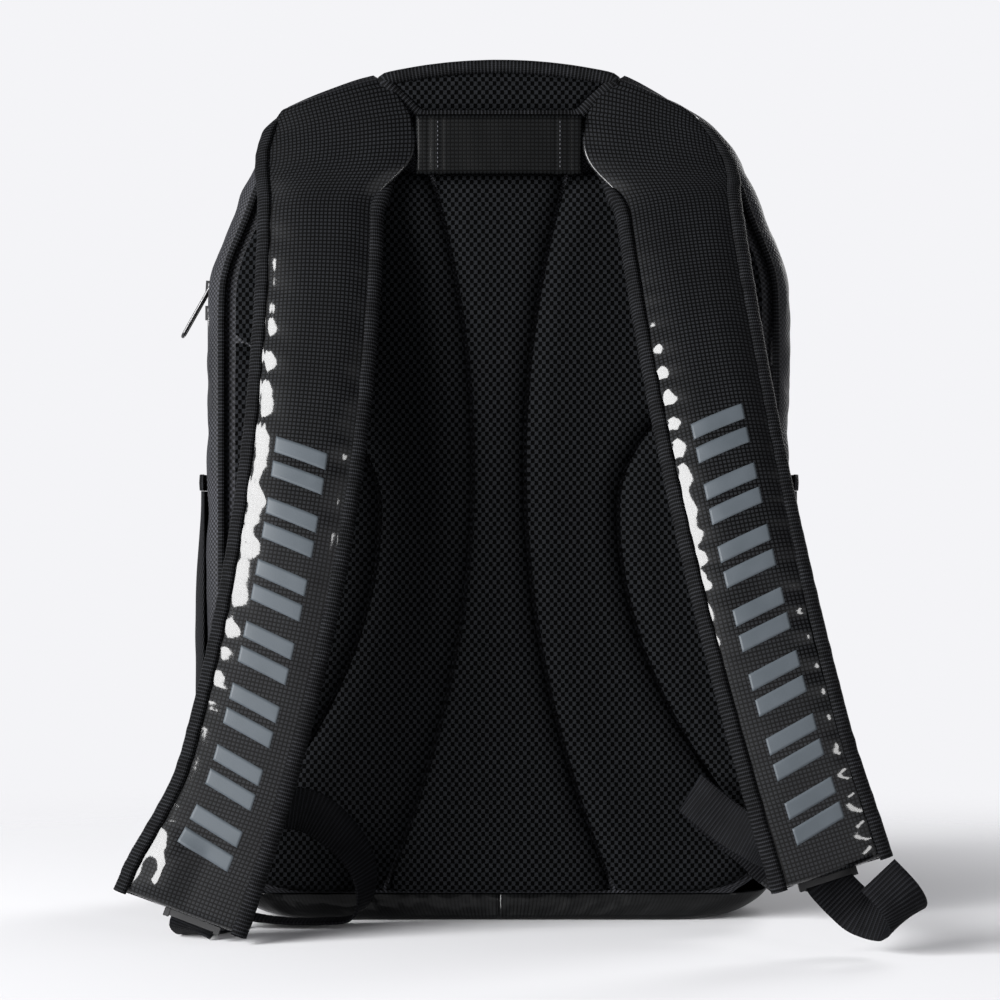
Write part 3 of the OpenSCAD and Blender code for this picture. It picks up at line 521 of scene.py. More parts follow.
def outlineAt(share, zFrom):
    # Point and outward direction on the way from the right foot, over the top, to the left foot.
    flipped = share > 0.5
    share = 1 - share if flipped else share
    cx, cz, r = bag["shoulder"]
    _, kz, kr = bag["crown"]
    corner = bag["cornerRadius"]
    low = max(0.0, (corner - zFrom) / corner)
    lengths = [math.asin(min(1.0, low)) * corner if zFrom < corner else 0.0,
               cz - max(zFrom, corner), bag["shoulderTurn"] * r, (math.pi / 2 - bag["shoulderTurn"]) * kr]
    reach = share * 2 * sum(lengths)
    if reach < lengths[0]:
        a = -math.asin(low) + reach / corner
        nx, nz = math.cos(a), math.sin(a)
        x, z = bag["halfWidth"] - corner + corner * nx, corner + corner * nz
    elif reach < sum(lengths[:2]):
        x, z, nx, nz = bag["halfWidth"], max(zFrom, corner) + reach - lengths[0], 1.0, 0.0
    elif reach < sum(lengths[:3]):
        a = (reach - lengths[0] - lengths[1]) / r
        x, z, nx, nz = cx + r * math.cos(a), cz + r * math.sin(a), math.cos(a), math.sin(a)
    else:
        a = bag["shoulderTurn"] + (reach - sum(lengths[:3])) / kr
        x, z, nx, nz = kr * math.cos(a), kz + kr * math.sin(a), math.cos(a), math.sin(a)
    side = -1 if flipped else 1
    return side * (x - slump(z)), z, side * nx, nz


def outlineLength(zFrom):
    points = [Vector(outlineAt(k / 200, zFrom)[:2]) for k in range(201)]
    return sum((b - a).length for a, b in zip(points[:-1], points[1:]))


def halfWidthAt(z, inset):
    cx, cz, r = bag["shoulder"]
    _, kz, kr = bag["crown"]
    corner = bag["cornerRadius"]
    if z < corner:
        return bag["halfWidth"] - corner + math.sqrt(max(0.0, (corner - inset) ** 2 - (corner - z) ** 2))
    if z <= cz:
        return bag["halfWidth"] - inset - slump(z)
    turnZ = cz + (r - inset) * math.sin(bag["shoulderTurn"])
    if z < turnZ:
        return cx + math.sqrt(max(0.0, (r - inset) ** 2 - (z - cz) ** 2)) - slump(z)
    return math.sqrt(max(0.0, (kr - inset) ** 2 - (z - kz) ** 2)) - slump(z)


def lean(y, z):
    return y if y <= bag["zip"] else bag["zip"] + (y - bag["zip"]) * (1 - bag["taper"] * z / bag["height"])


def wallPiece(name, stations, zFrom, across, along, thickness, material, body, replaces, creases=0.9, sag=0.0):
    # A wall round the bag: stations are (depth, inset) from one edge to the other.
    length = outlineLength(zFrom)
    width = sum(math.dist(a, b) for a, b in zip(stations[:-1], stations[1:]))
    flat = [Vector((a, b, 0)) for a, b in stations]
    steps = [0.0]
    for a, b in zip(flat[:-1], flat[1:]):
        steps.append(steps[-1] + (b - a).length)

    def place(u, v):
        x, z, nx, nz = outlineAt(u, zFrom)
        reach = v * width
        k = max(i for i in range(len(steps) - 1) if steps[i] <= reach + 1e-6)
        f = (reach - steps[k]) / (steps[k + 1] - steps[k])
        y, inset = flat[k].lerp(flat[k + 1], min(1.0, f))[:2]
        edge = ease(0, 0.16, v) * ease(1, 0.86, v)
        inset += sag * edge - creases * edge * (ripple(u * length, y, 46, 3.1) + 0.5 * ripple(u * length, y * 2.2, 15, 7.7))
        return (x - nx * inset, lean(y, z), z - nz * inset)

    return sheetPiece(name, place, across, along, (length, width), thickness, material, body, replaces)


# ---- back: panel, pads, piping ----
back = dict(padThickness=12, seamRadius=15, channelWaist=15, waist=265, gap=2.4, hipWaist=69, padTop=434, padLow=18,
            channelCurve=0.00085, hipMiddle=240, hipLowCurve=0.00223, hipHighCurve=0.0085)


def channelX(z):
    return back["channelWaist"] + back["channelCurve"] * (z - back["waist"]) ** 2


def hipX(z):
    curve = back["hipLowCurve"] if z < back["hipMiddle"] else back["hipHighCurve"]
    return back["hipWaist"] + curve * (z - back["hipMiddle"]) ** 2


def rearPlace(y, inset, low):
    def place(u, v):
        z = lerp(low, bag["height"] - inset, math.sin(v * math.pi / 2) if v < 1 else 1.0)
        return ((2 * u - 1) * halfWidthAt(z, inset), y, z)
    return place


sheetPiece("rearPanel", rearPlace(-80, 14, 16.4), 40, 90, (316, 470), 1.4, shellNylon, "bag", ["rear_panel"])
rearLining = sheetPiece("rearLining", rearPlace(-72.4, 18, 26), 30, 60, (300, 450), 0.7, liningCloth, "bag",
           ["rear_lining"], centre=(0, -200, 250))
foamPiece = pillowPiece(
    "backFoam",
    lambda u, v: (Vector(rearPlace(-78.2, 20, 26)(u, v)) + Vector((0, 0.2 * ripple(u * 300, v * 450, 30), 0))
                  if 0 < u < 1 and 0 < v < 1 else Vector(rearPlace(-76, 20, 26)(u, v))),
    lambda u, v: (Vector(rearPlace(-74.4, 20, 26)(u, v)) if 0 < u < 1 and 0 < v < 1
                  else Vector(rearPlace(-76, 20, 26)(u, v))),
    30, 60, (300, 450), foamMaterial, "bag", ["back_foam"])


def backPad(name, node, inner, outer, low, top, sign, distance):
    # A puffed pad between two seam curves; distance gives how far a point is from its nearest seam.
    def spot(u, v):
        z = lerp(low, top, 0.5 - 0.5 * math.cos(v * math.pi))
        x0, x1 = inner(z), outer(z)
        return lerp(x0, x1, 0.5 - 0.5 * math.cos(u * math.pi)), z

    def front(u, v):
        x, z = spot(u, v)
        height = 0.4
        if 0 < u < 1 and 0 < v < 1:
            d = distance(x, z)
            puff = dome(d, back["seamRadius"])
            pucker = 0.55 * (1 - ease(4, 20, d)) * ease(0, 3, d) * ripple(x * 0.7, z, 7.0, 2.0)
            broad = 0.7 * ease(8, 30, d) * ripple(x, z * 0.6, 42, 5.0)
            height += (back["padThickness"] - 1.2) * puff + pucker + broad
        return (sign * x, -80.4 - height, z)

    def rear(u, v):
        x, z = spot(u, v)
        return (sign * x, -80.8 if u in (0, 1) or v in (0, 1) else -80.35, z)

    pad = pillowPiece(name, front, rear, 56, 150, (outer(265) - inner(265), top - low), airMesh, "bag", [node])
    return pad


def smoothLow(*values):
    # The least of a few distances, with the corners between them rounded.
    k = 7.0
    return -k * math.log(sum(math.exp(-v / k) for v in values)) + 1.5


def seamSlope(curve, z):
    return 1 / math.sqrt(1 + ((curve(z + 1) - curve(z - 1)) / 2) ** 2)


half = back["gap"] / 2
low, top = back["padLow"], back["padTop"]


def outerPad(z):
    return halfWidthAt(z, 19)


backPad("centrePad", "centre_back_pad", lambda z: -channelX(z) + half, lambda z: channelX(z) - half, low, top, 1,
        lambda x, z: smoothLow((channelX(z) - half - abs(x)) * seamSlope(channelX, z), z - low + 3, top - z + 3))
for side, tag in ((-1, "left"), (1, "right")):
    backPad(tag + "SidePad", tag + "_back_pad", lambda z: channelX(z) + half,
            lambda z: min(outerPad(z), hipX(z) - half), low, top, side,
            lambda x, z: smoothLow((x - channelX(z) - half) * seamSlope(channelX, z),
                                   (hipX(z) - half - x) * seamSlope(hipX, z), outerPad(z) - x, z - low + 3, top - z + 3))
    backPad(tag + "HipPad", tag + "_hip_pad", lambda z: min(hipX(z) + half, outerPad(z) - 1), outerPad, 54, 336, side,
            lambda x, z: smoothLow((x - hipX(z) - half) * seamSlope(hipX, z), outerPad(z) - x, z - 50, 340 - z))


def seamPath(zFrom, inset, y, cut, side):
    points = []
    for k in range(161):
        x, z, nx, nz = outlineAt(k / 320, zFrom)
        if z - nz * inset < cut:
            points.append(Vector((side * (x - nx * inset), y, z - nz * inset)))
    return stationsOf(points, lambda k, p, along: Vector((0, -1, 0)))


sweptPiece("rearPiping", [seamPath(17, 11, -82.6, 466, s) for s in (1, -1)], circleProfile(2.2), grosgrain, "bag",
           ["rear_piping"])
print("back ready")

# ---- walls, base tub, linings ----
rearStations = [(bag["back"] + bag["rearRadius"] * (1 - math.sin(a)), bag["rearRadius"] * (1 - math.cos(a)))
                for a in [math.radians(90 - 15 * k) for k in range(7)]] + [(-30, 0), (bag["wallEnd"], 0)]
wallPiece("sideGusset", rearStations, 16.3, 420, 26, 1.6, shellNylon, "bag", ["side_gusset"], 2.6, 1.6)
gussetLining = wallPiece("gussetLining", [(-69, 5), (-20, 5), (11, 4)], 18, 200, 10, 0.6, liningCloth, "bag",
                         ["gusset_lining"], 0.6)

tub = dict(rear=-77, front=89.7, corner=30, crease=0.9)


def tubRing(z, inset, rear=tub["rear"]):
    # Half width and depth range of the tub at height z.
    return halfWidthAt(z, 0) - inset, rear + inset, tub["front"] - inset


def ringPoint(t, w, y0, y1, corner):
    # A rounded rectangle walked by share t, from the middle of the back, through the right side.
    r = max(1.0, corner)
    runs = [w - r, r * math.pi / 2, y1 - y0 - 2 * r, r * math.pi / 2, 2 * (w - r), r * math.pi / 2, y1 - y0 - 2 * r,
            r * math.pi / 2, w - r]
    reach = (t % 1.0) * sum(runs)
    starts = [(0, y0), (w - r, y0 + r), (w, y0 + r), (w - r, y1 - r), (w - r, y1), (-w + r, y1 - r), (-w, y1 - r),
              (-w + r, y0 + r), (-w + r, y0)]
    ways = [(1, 0), -90, (0, 1), 0, (-1, 0), 90, (0, -1), 180, (1, 0)]
    for run, start, way in zip(runs, starts, ways):
        if reach <= run or way == ways[-1] and start == starts[-1]:
            if isinstance(way, tuple):
                return start[0] + way[0] * reach, start[1] + way[1] * reach
            a = math.radians(way) + reach / r
            return start[0] + r * math.cos(a), start[1] + r * math.sin(a)
        reach -= run


def tubPlace(u, v):
    if v < 0.3:  # the bottom, from a slim ring outwards
        share = 0.02 + 0.98 * v / 0.3
        w, y0, y1 = tubRing(0, 3)
        mid = (y0 + y1) / 2
        x, y = ringPoint(u, w * share, mid + (y0 - mid) * share, mid + (y1 - mid) * share, 28 * share)
        return (x, y, 0.15 + 0.5 * abs(ripple(x, y, 30)))
    z = bag["base"] * ((v - 0.3) / 0.7)
    w, y0, y1 = tubRing(z, 2.2 * (1 - min(1.0, z / 2.5)))
    x, y = ringPoint(u, w, y0, y1, 30)
    swell = 1.1 * math.sin(math.pi * min(1.0, z / 16)) + tub["crease"] * ease(0, 4, z) * ease(17, 12, z) * (
        ripple(u * 1000, z * 1.5, 13, 1.0) + 0.6 * ripple(u * 1000, z, 5.5, 4.0))
    out = Vector((x, y - 6)).normalized()
    return (x + out.x * swell * 0.6, y + (out.y if abs(y) > 60 else 0) * swell, max(0.1, z))


sheetPiece("baseTub", tubPlace, 520, 22, (940, 70), 1.2, baseLaminate, "bag", ["base_panel"], centre=(0, 6, 40))


def lowerFront(u, v):
    z = lerp(16.3, 71.5, v)
    w = halfWidthAt(z, 0)
    r, y0, y1 = 30, 12.4, 89.7
    runs = [y1 - r - y0, r * math.pi / 2, 2 * (w - r), r * math.pi / 2, y1 - r - y0]
    reach = u * sum(runs)
    swell = ease(0, 0.2, v) * ease(1, 0.8, v) * (0.8 * ripple(u * 480, z, 26, 2.0) - 0.6)
    if reach < runs[0]:
        return (w + swell, y0 + reach, z)
    reach -= runs[0]
    if reach < runs[1]:
        a = reach / r
        return (w - r + (r + swell) * math.cos(a), y1 - r + (r + swell) * math.sin(a), z)
    reach -= runs[1]
    if reach < runs[2]:
        return (w - r - reach, y1 + swell, z)
    reach -= runs[2]
    if reach < runs[3]:
        a = math.pi / 2 + reach / r
        return (-w + r + (r + swell) * math.cos(a), y1 - r + (r + swell) * math.sin(a), z)
    return (-w - swell, y1 - r - (reach - runs[3]), z)


sheetPiece("lowerFront", lowerFront, 300, 20, (560, 55), 1.6, shellNylon, "bag", ["lower_front_panel"],
           centre=(0, 0, 40))

sleeveLaptop = dict(half=125, low=28, top=330, depth=20)


def laptopPlace(u, v):
    x = (2 * u - 1) * sleeveLaptop["half"]
    z = lerp(sleeveLaptop["low"], sleeveLaptop["top"], v)
    d = min(sleeveLaptop["half"] - abs(x), z - sleeveLaptop["low"])
    return (x, -71 + 19.5 * dome(d, 12) + 0.4 * ripple(x, z, 40), z)


sheetPiece("laptopSleeve", laptopPlace, 70, 70, (250, 302), 2.5, liningCloth, "bag", ["laptop_sleeve"],
           centre=(0, -200, 200))
softened("frame_sheet", 0.6, 2, sheetPlastic)
softened("base_board", 0.8, 2, sheetPlastic)
print("walls ready")

# ---- shoulder straps ----
straps = dict(
    left=dict(side=-1, body="left_strap", reach=100, splay=68, end=14.5, early=0.0, power=2.15,
              flare=13, flange=0.1, crease=0.16, corner=4.4, printEnd=52,
              outer=[(122, 473.5), (129, 463), (133, 452), (134.5, 442), (134.5, 432), (133.5, 425)],
              sway=0.35, crown=(6.6, 7.0, 1.3)),
    right=dict(side=1, body="right_strap", reach=145, splay=76, end=43, early=0.5, power=2.0,
               flare=3, flange=0.0, crease=0.34, corner=0.0, printEnd=42,
               outer=[(104, 473.5), (116, 463), (124, 452), (130, 442), (133, 432), (133.5, 425)],
               sway=0.12, crown=(5.2, 8.6, 3.4)),
)
yoke = dict(
    inner=[(73, 492.5), (60, 480), (49.5, 467), (47.5, 452), (48.5, 438), (57.5, 428)],
    depth=83.65, slope=0.326,
)
cover = dict(start=419.5, half=27, widen=3.5, edge=3.2, creaseLength=15.5, tip=9)


def strapPoint(s, u):
    rise = s["early"] * u + (1 - s["early"]) * u ** s["power"]
    return Vector((s["side"] * (102 + s["splay"] * rise), -105 - (s["reach"] - 25) * (1 - (1 - u) ** 2),
                   cover["start"] + (s["end"] - cover["start"]) * u))


def strapFrame(s, u):
    along = (strapPoint(s, min(1, u + 0.01)) - strapPoint(s, max(0, u - 0.01))).normalized()
    front = Vector((s["side"] * 0.12 * u, -1, 0))
    out = (front - along * front.dot(along)).normalized()
    return strapPoint(s, u), along.cross(out), along, out


def strapStations(s):
    # Evenly spaced rows from the yoke's top to the strap's end: both edges, outward direction, length so far.
    rows = []
    for (xi, zi), (xo, zo) in zip(yoke["inner"], s["outer"]):
        inner = Vector((s["side"] * xi, -(yoke["depth"] + yoke["slope"] * (487 - zi)), zi))
        outer = Vector((s["side"] * xo, -(yoke["depth"] + yoke["slope"] * (487 - zo)), zo))
        pair = (outer, inner) if s["side"] < 0 else (inner, outer)
        rows.append((pair[1], pair[0], Vector((0, -0.951, 0.31))))
    for k in range(25):
        u = k / 24
        point, across, along, out = strapFrame(s, u)
        half = cover["half"] + cover["widen"] * (1 - u) ** 1.3
        plus, minus = point + across * half, point - across * half
        flare = s["flare"] * ease(0.8, 1.0, u)
        if s["side"] < 0:
            plus += across * flare
        else:
            minus -= across * flare
        rows.append((minus, plus, out))
    fine = []
    for k in range(601):
        fine.append([spline([row[i] for row in rows], k / 600) for i in range(3)])
    lengths = [0.0]
    for a, b in zip(fine[:-1], fine[1:]):
        lengths.append(lengths[-1] + ((b[0] + b[1]) / 2 - (a[0] + a[1]) / 2).length)
    even, j, count = [], 0, 300
    for k in range(count + 1):
        want = lengths[-1] * k / count
        while j < 599 and lengths[j + 1] < want:
            j += 1
        f = (want - lengths[j]) / max(1e-6, lengths[j + 1] - lengths[j])
        row = [fine[j][i].lerp(fine[j + 1][i], f) for i in range(3)]
        even.append([row[0], row[1], row[2].normalized(), want])
    for _ in range(30):  # the bend from yoke to strap is a soft one
        for k in range(8, 110):
            for i in range(3):
                even[k][i] = even[k][i].lerp((even[k - 1][i] + even[k + 1][i]) / 2, 0.6)
    return even


def rowAt(rows, length):
    n = len(rows) - 1
    t = min(1.0, max(0.0, length / rows[-1][3])) * n
    k = min(n - 1, int(t))
    f = t - k
    return [rows[k][i].lerp(rows[k + 1][i], f) for i in range(3)]


def creaseAt(a, length, seed):
    # Puckers that the edge seams pull into the laminate; they die out towards the middle.
    near = ease(0.3, 0.82, abs(a)) * (1 - 0.75 * ease(0.88, 1.0, abs(a)))
    side = seed + (3.7 if a > 0 else 0.0)
    phase = 2 * math.pi * length / cover["creaseLength"] + 1.8 * ripple(length, side * 10, 34, side) + 1.4 * a
    wave = math.sin(phase) + 0.22 * math.sin(2.3 * phase + 1.1) * (0.5 + ripple(length, a * 20, 22, side + 2))
    strength = 0.75 + 0.9 * ripple(length, 0, 55, side + 5)
    broad = 2.5 * ripple(a * 22, length * 0.7, 30, seed + 9)
    return near * wave * max(0.25, strength) + broad


def fullness(s, length, total):
    high, middle, tail = s["crown"]  # how full the pad is at its top, middle and end
    return lerp(lerp(high, middle, ease(60, 200, length)), tail, ease(total - 250, total - 90, length))


def coverPoint(s, rows, a, length, lift=0.0):
    minus, plus, out = rowAt(rows, length)
    total = rows[-1][3]
    # Beside the binding the cover lies nearly flat, as the seam holds it.
    side = s["side"] * 1.7 + (3.7 if a > 0 else 0.0)
    power = 2.6 + s["sway"] * math.sin(2 * math.pi * length / 27 + 3 * ripple(length, 0, 60, side)) * ease(0.3, 0.8, abs(a))
    power += 0.8 * ease(0, -0.4, a)
    bulge = 1 - abs(a) ** power + s["flange"] * ease(0.86, 1.0, abs(a))
    crown = fullness(s, length, total) * bulge * lerp(0.5, 1.0, ease(20, 110, length))
    creases = s["crease"] * lerp(0.4, 1.0, ease(90, 210, length)) * creaseAt(a, length, s["side"] * 1.7)
    # The outer corner of the end puffs up where the cover is turned in.
    corner = s["corner"] * ease(total - 50, total - 24, length) * ease(total, total - 12, length)
    corner *= ease(-0.1, 0.4, a) * ease(0.98, 0.5, a)
    height = cover["edge"] + crown + creases + corner + lift
    down = cover["tip"] * (1 - math.sqrt(1 - min(1.0, max(0.0, (length - total + 5) / 5)) ** 2))
    curl = 6 * ease(6, 0, length)
    return minus.lerp(plus, (a + 1) / 2) + out * (height - down - curl)


def bandProfile():
    # Folded binding seen end on: up over the pad's edge, round it and back under.
    return [(-2.2, 4.6), (0.6, 4.9), (3.2, 4.3), (5.2, 2.8), (6.1, 0.2), (5.9, -2.4), (4.6, -4.6), (1.6, -5.7),
            (-2.2, -5.9), (-2.2, -4.8), (1.4, -4.3), (1.4, 3.2)]


def strapPieces(tag):
    s = straps[tag]
    rows = strapStations(s)
    total = rows[-1][3]
    wide = [(row[0] - row[1]).length / 2 for row in rows]

    piece = sheetPiece(
        tag + "StrapCover", lambda u, v: coverPoint(s, rows, 2 * u - 1, v * total), 46, 330, (60, total), 1.1,
        laminate, None, [tag + "_strap_cover", tag + "_yoke"], centre=(s["side"] * 100, 400, 250),
        uv=lambda u, v: ((2 * u - 1) * wide[round(v * 300)], v * total))
    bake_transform(piece)

    lowRow = next(k for k, row in enumerate(rows) if (row[0].z + row[1].z) / 2 < 428)

    def under(u, v):
        length = lerp(rows[lowRow][3], total, v)
        minus, plus, out = rowAt(rows, length)
        a = (2 * u - 1) * 0.98
        puff = 1.6 * (1 - abs(a) ** 4) + 0.5 * ripple(a * 27, length, 18, 4.0)
        return minus.lerp(plus, (a + 1) / 2) - out * (3.9 + puff)

    piece = sheetPiece(tag + "StrapLining", under, 34, 200, (54, total), 1.0, airMesh, None,
                       [tag + "_strap_lining"], centre=(s["side"] * 100, -600, 250))
    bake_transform(piece)

    # The foam fills the strap between cover and lining.
    profile = [(-24.5, -3.0), (0, -3.4), (24.5, -3.0), (25.6, -1.0), (25.4, 1.2), (22, 3.0), (12, 5.0), (0, 5.8),
               (-12, 5.0), (-22, 3.0), (-25.4, 1.2), (-25.6, -1.0)]
    path = []
    for row in rows[lowRow + 8:-2:3]:
        slim = min(1.0, (cover["edge"] + fullness(s, row[3], total) - 1.7) / 5.8)
        path.append(((row[0] + row[1]) / 2, (row[1] - row[0]).normalized(), row[2] * slim, row[3]))
    foam = sweptPiece(tag + "StrapFoam", [path], profile, foamMaterial, s["body"], [tag + "_strap_foam"])

    edges = []
    for edge in (0, 1):
        outside = (edge == 1) == (s["side"] < 0)
        first = 3 if outside else next(k for k, row in enumerate(rows) if row[edge].z < 432)
        stations = []
        for k in range(first, len(rows)):
            row = rows[k]
            away = (row[edge] - row[1 - edge]).normalized()
            length = row[3]
            pucker = 0.35 * ripple(length, edge * 50, 6.5, s["side"] + 3.0)
            slim = lerp(0.25, 1.0, ease(0, 14, length - rows[first][3]))
            stations.append((row[edge] + away * (pucker - 3 * (1 - slim)), away * slim, row[2] * slim, length))
        edges.append(stations)
    # One binding down each side; the outer one also runs over the sewn shoulder end.
    piece = sweptPiece(tag + "StrapBinding", edges, bandProfile(), grosgrain, None,
                       [tag + "_strap_binding"])
    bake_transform(piece)

    # Printed mark: a row of plain slanted bars along the strap.
    whole = bmesh.new()
    for k in range(7):
        middle = total - s["printEnd"] - k * 35.2
        for half in (-1, 1):
            def bar(u, v, middle=middle, half=half):
                a = lerp(-0.52, 0.52, u)
                length = middle + 6 + half * 7.0 + lerp(-4.6, 4.6, v) + 7.0 * a * s["side"]
                return coverPoint(s, rows, a, length, 0.22)
            bm = bmesh.new()
            gridIn(bm, bar, 22, 6, (28, 9))
            bm.normal_update()
            if sum(f.normal.y for f in bm.faces) > 0:
                bmesh.ops.reverse_faces(bm, faces=bm.faces[:])
            addTo(whole, bm)
    bmesh.ops.solidify(whole, geom=whole.faces[:], thickness=0.15 * mm)
    finishPiece(tag + "StrapPrint", whole, ink, s["body"], ())


for tag in straps:
    strapPieces(tag)
print("straps ready")


# ---- ladder locks, loops and webbing ----
lock = dict(along=-18, out=-9.3, centreBar=-8, gripBar=2, loopRadius=2.3, width=25, thick=1.6, anchor=(159, -87, 33))


def lockPlace(s, y, z, x=0.0):
    point, across, along, out = strapFrame(s, 1)
    return point + across * x + along * y + out * z


def tapePath(points, acrossList, count):
    places = [spline(points, k / count) for k in range(count + 1)]
    ways = [spline(acrossList, k / count) for k in range(count + 1)]
    return stationsOf(places, lambda k, p, along: ways[k])


tapeProfile = roundProfile(lock["width"], lock["thick"])
slack = dict(
    left=([(0, -5.6, -3), (2, -13, -15), (-8, -16, -25), (-32, -17, -29.5), (-58, -18, -29.8), (-76, -19, -27),
           (-83, -21, -11), (-78, -24, 9), (-62, -28, 27), (-45, -33, 36), (-25, -45, 33), (-12, -60, 12)],
          [(0.6, 0, -0.8), (0.3, 0.8, -0.4), (0.1, 1, 0), (0, 1, 0), (0, 1, 0), (0.1, 1, 0), (0.4, 0.9, 0),
           (0.6, 0.75, 0.3), (0.55, 0.4, 0.73), (0.5, 0.1, 0.85), (0.8, 0.1, 0.5), (0.95, 0, 0)]),
    right=([(0, -5, -1), (-11, -8.8, 10), (-29, -12, 25), (-43, -16, 38), (-49, -22, 44), (-43, -28, 39),
            (-26, -36, 26), (-8, -52, 17), (8, -86, 13)],
           [(0.6, 0, 0.8), (0.55, 0, 0.83), (0.5, 0, 0.86), (0.5, 0, 0.86), (0.5, 0, 0.86), (0.5, 0, 0.86),
            (0.5, 0, 0.86), (0.6, 0, 0.7), (0.8, 0, 0.4)]),
)
tails = dict(
    left=([(-1, 8, -4), (2, 22, -7.5), (8, 42, -8), (16, 62, -8)],
          [(0.98, 0, -0.2), (1, 0.1, 0), (1, 0.3, 0), (1, 0.4, 0)]),
    right=([(10, 1, -10), (19, -1, -17), (33, -9, -20), (40, -21, -16), (36, -28, -6), (24, -25, 7)],
           [(0.98 - 0.19 * min(1, i / 3), 0, 0.2 + 0.41 * min(1, i / 3)) for i in range(1, 7)]),
)


def webbingPieces(tag):
    s = straps[tag]
    across = -strapFrame(s, 1)[1]
    ax, ay, az = lock["anchor"]
    grip, centre = lock["gripBar"], lock["centreBar"]
    into = [(grip + 4, -9.5), (grip - 1, -5.8), (centre + 4, -4.6), (centre - 0.5, -3.7), (centre - 3.6, -0.6)]
    route = [Vector((s["side"] * (ax + p[0]), ay + p[1], az + p[2])) for p in slack[tag][0]]
    route += [lockPlace(s, y, lock["out"] + z) for y, z in into]
    ways = [Vector(w) for w in slack[tag][1]] + [across] * len(into)
    stations = tapePath(route, ways, 220)
    tape = sweptPiece(tag + "LowerWebbing", [stations], tapeProfile, webbing, None,
                      [tag + "_lower_webbing"])
    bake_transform(tape)

    leave = [(centre - 2, 2.5), (centre + 2, 2.4), (centre + 7.4, -2.5), (grip + 2, -2.6)]
    start = lockPlace(s, grip + 3, lock["out"] - 2.6)
    route = [lockPlace(s, y, lock["out"] + z) for y, z in leave] + [start + Vector(p) for p in tails[tag][0]]
    ways = [across] * len(leave) + [Vector(w) for w in tails[tag][1]]
    sweptPiece(tag + "WebbingTail", [tapePath(route, ways, 150)], tapeProfile, webbing, tag + "_buckle",
               [tag + "_webbing_tail"])

    # Loop of tape round the lock's bar, both ends sewn flat under the strap.
    r, y0, z0 = lock["loopRadius"] + lock["thick"] / 2, lock["along"], lock["out"]
    sewn = y0 - 29
    points = [(sewn, z0 + 0.55), (y0 - 16, z0 + 1.2), (y0 - 6, z0 + 2.4)]
    points += [(y0 + r * math.sin(a), z0 + r * math.cos(a)) for a in [math.radians(-25 + 23 * k) for k in range(11)]]
    points += [(y0 - 6, z0 - 2.4), (y0 - 16, z0 - 1.2), (sewn, z0 - 2.6)]
    places = [lockPlace(s, *spline([Vector(p) for p in points], k / 60)) for k in range(61)]
    side = strapFrame(s, 1)[1]
    sweptPiece(tag + "LockLoop", [stationsOf(places, lambda k, p, along: side)],
               roundProfile(lock["width"], lock["thick"] * 0.95), webbing, s["body"], [tag + "_lock_loop"])
    softened(tag + "_ladder_lock", 0.55, 3, acetal)


for tag in straps:
    webbingPieces(tag)


def anchorPoint(side, u, v, lift):
    x, z = (2 * u - 1) * 9.5, (2 * v - 1) * 13
    a = math.radians(37) * side
    bulge = lift * (1 - abs(2 * u - 1) ** 5) * (1 - abs(2 * v - 1) ** 5) + 0.25 * ripple(x, z, 5, side)
    ax, ay, az = lock["anchor"]
    return Vector((side * ax + x * math.cos(a) + z * math.sin(a), ay - bulge + 0.6, az - x * math.sin(a) + z * math.cos(a)))


whole = bmesh.new()
for side in (-1, 1):
    bm = bmesh.new()
    gridIn(bm, lambda u, v: anchorPoint(side, u, v, 2.3), 14, 18, (19, 26))
    gridIn(bm, lambda u, v: anchorPoint(side, u, v, -3.0), 14, 18, (19, 26))
    bmesh.ops.remove_doubles(bm, verts=bm.verts[:], dist=2e-5)
    bmesh.ops.recalc_face_normals(bm, faces=bm.faces[:])
    addTo(whole, bm)
finishPiece("webbingAnchors", whole, laminate, "bag", ["webbing_anchors"])
print("webbing ready")

# ---- grab handle ----
handle = dict(half=48, free=37.5, middle=449.5, tall=35, thick=4.6, depth=-97.2, arch=1.6, seams=(33, 40.5))


def handleSide(side, front):
    def spot(u, v):
        x = side * u * handle["half"]
        z = handle["middle"] + (v - 0.5) * handle["tall"]
        full = dome(min(v, 1 - v) * handle["tall"], 4.0) * dome((1 - u) * handle["half"], 2.0)
        bow = handle["arch"] * (1 - u * u) + 0.35 * ripple(x, z, 14, 6.0)
        thick = handle["thick"] / 2 * full
        for seam in handle["seams"]:
            thick -= 0.35 * math.exp(-((x * side - seam) / 1.1) ** 2)
        return (x, handle["depth"] - bow - (thick if front else -thick), z)
    return spot


for side, tag in ((-1, "left"), (1, "right")):
    piece = pillowPiece(tag + "Handle", handleSide(side, True), handleSide(side, False), 50, 26, (48, 35),
                        softLaminate, None, ["handle_cover", "handle_tabs"])
    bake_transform(piece)


def handleCore(front):
    def spot(u, v):
        x, z = (2 * u - 1) * 27, handle["middle"] + (v - 0.5) * 26
        flat = dome(min(v, 1 - v) * 26, 3) * dome(min(u, 1 - u) * 54, 3)
        return (x, handle["depth"] - handle["arch"] * (1 - (x / 48) ** 2) - (1.2 if front else -1.2) * flat, z)
    return spot


piece = pillowPiece("handleCore", handleCore(True), handleCore(False), 30, 16, (54, 26), foamMaterial, "grab_handle",
                    ["handle_core"])
for side, tag in ((-1, "left"), (1, "right")):
    points = [Vector(handleSide(side, True)(35.2 / handle["half"], lerp(0.1, 0.9, k / 11))) + Vector((0, -0.12, 0))
              for k in range(12)]
    piece = stitchPiece(tag + "HandleStitches", [(points, Vector((0, -1, 0)))], None)
    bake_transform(piece)


# ---- neck pad ----
def neckSpot(u, v, shrink):
    x = (2 * u - 1) * (lerp(48, 71, v) - shrink * 1.35)
    high = 497.5 - 0.0017 * x * x - shrink
    return x, lerp(465.5 + shrink, high, v)


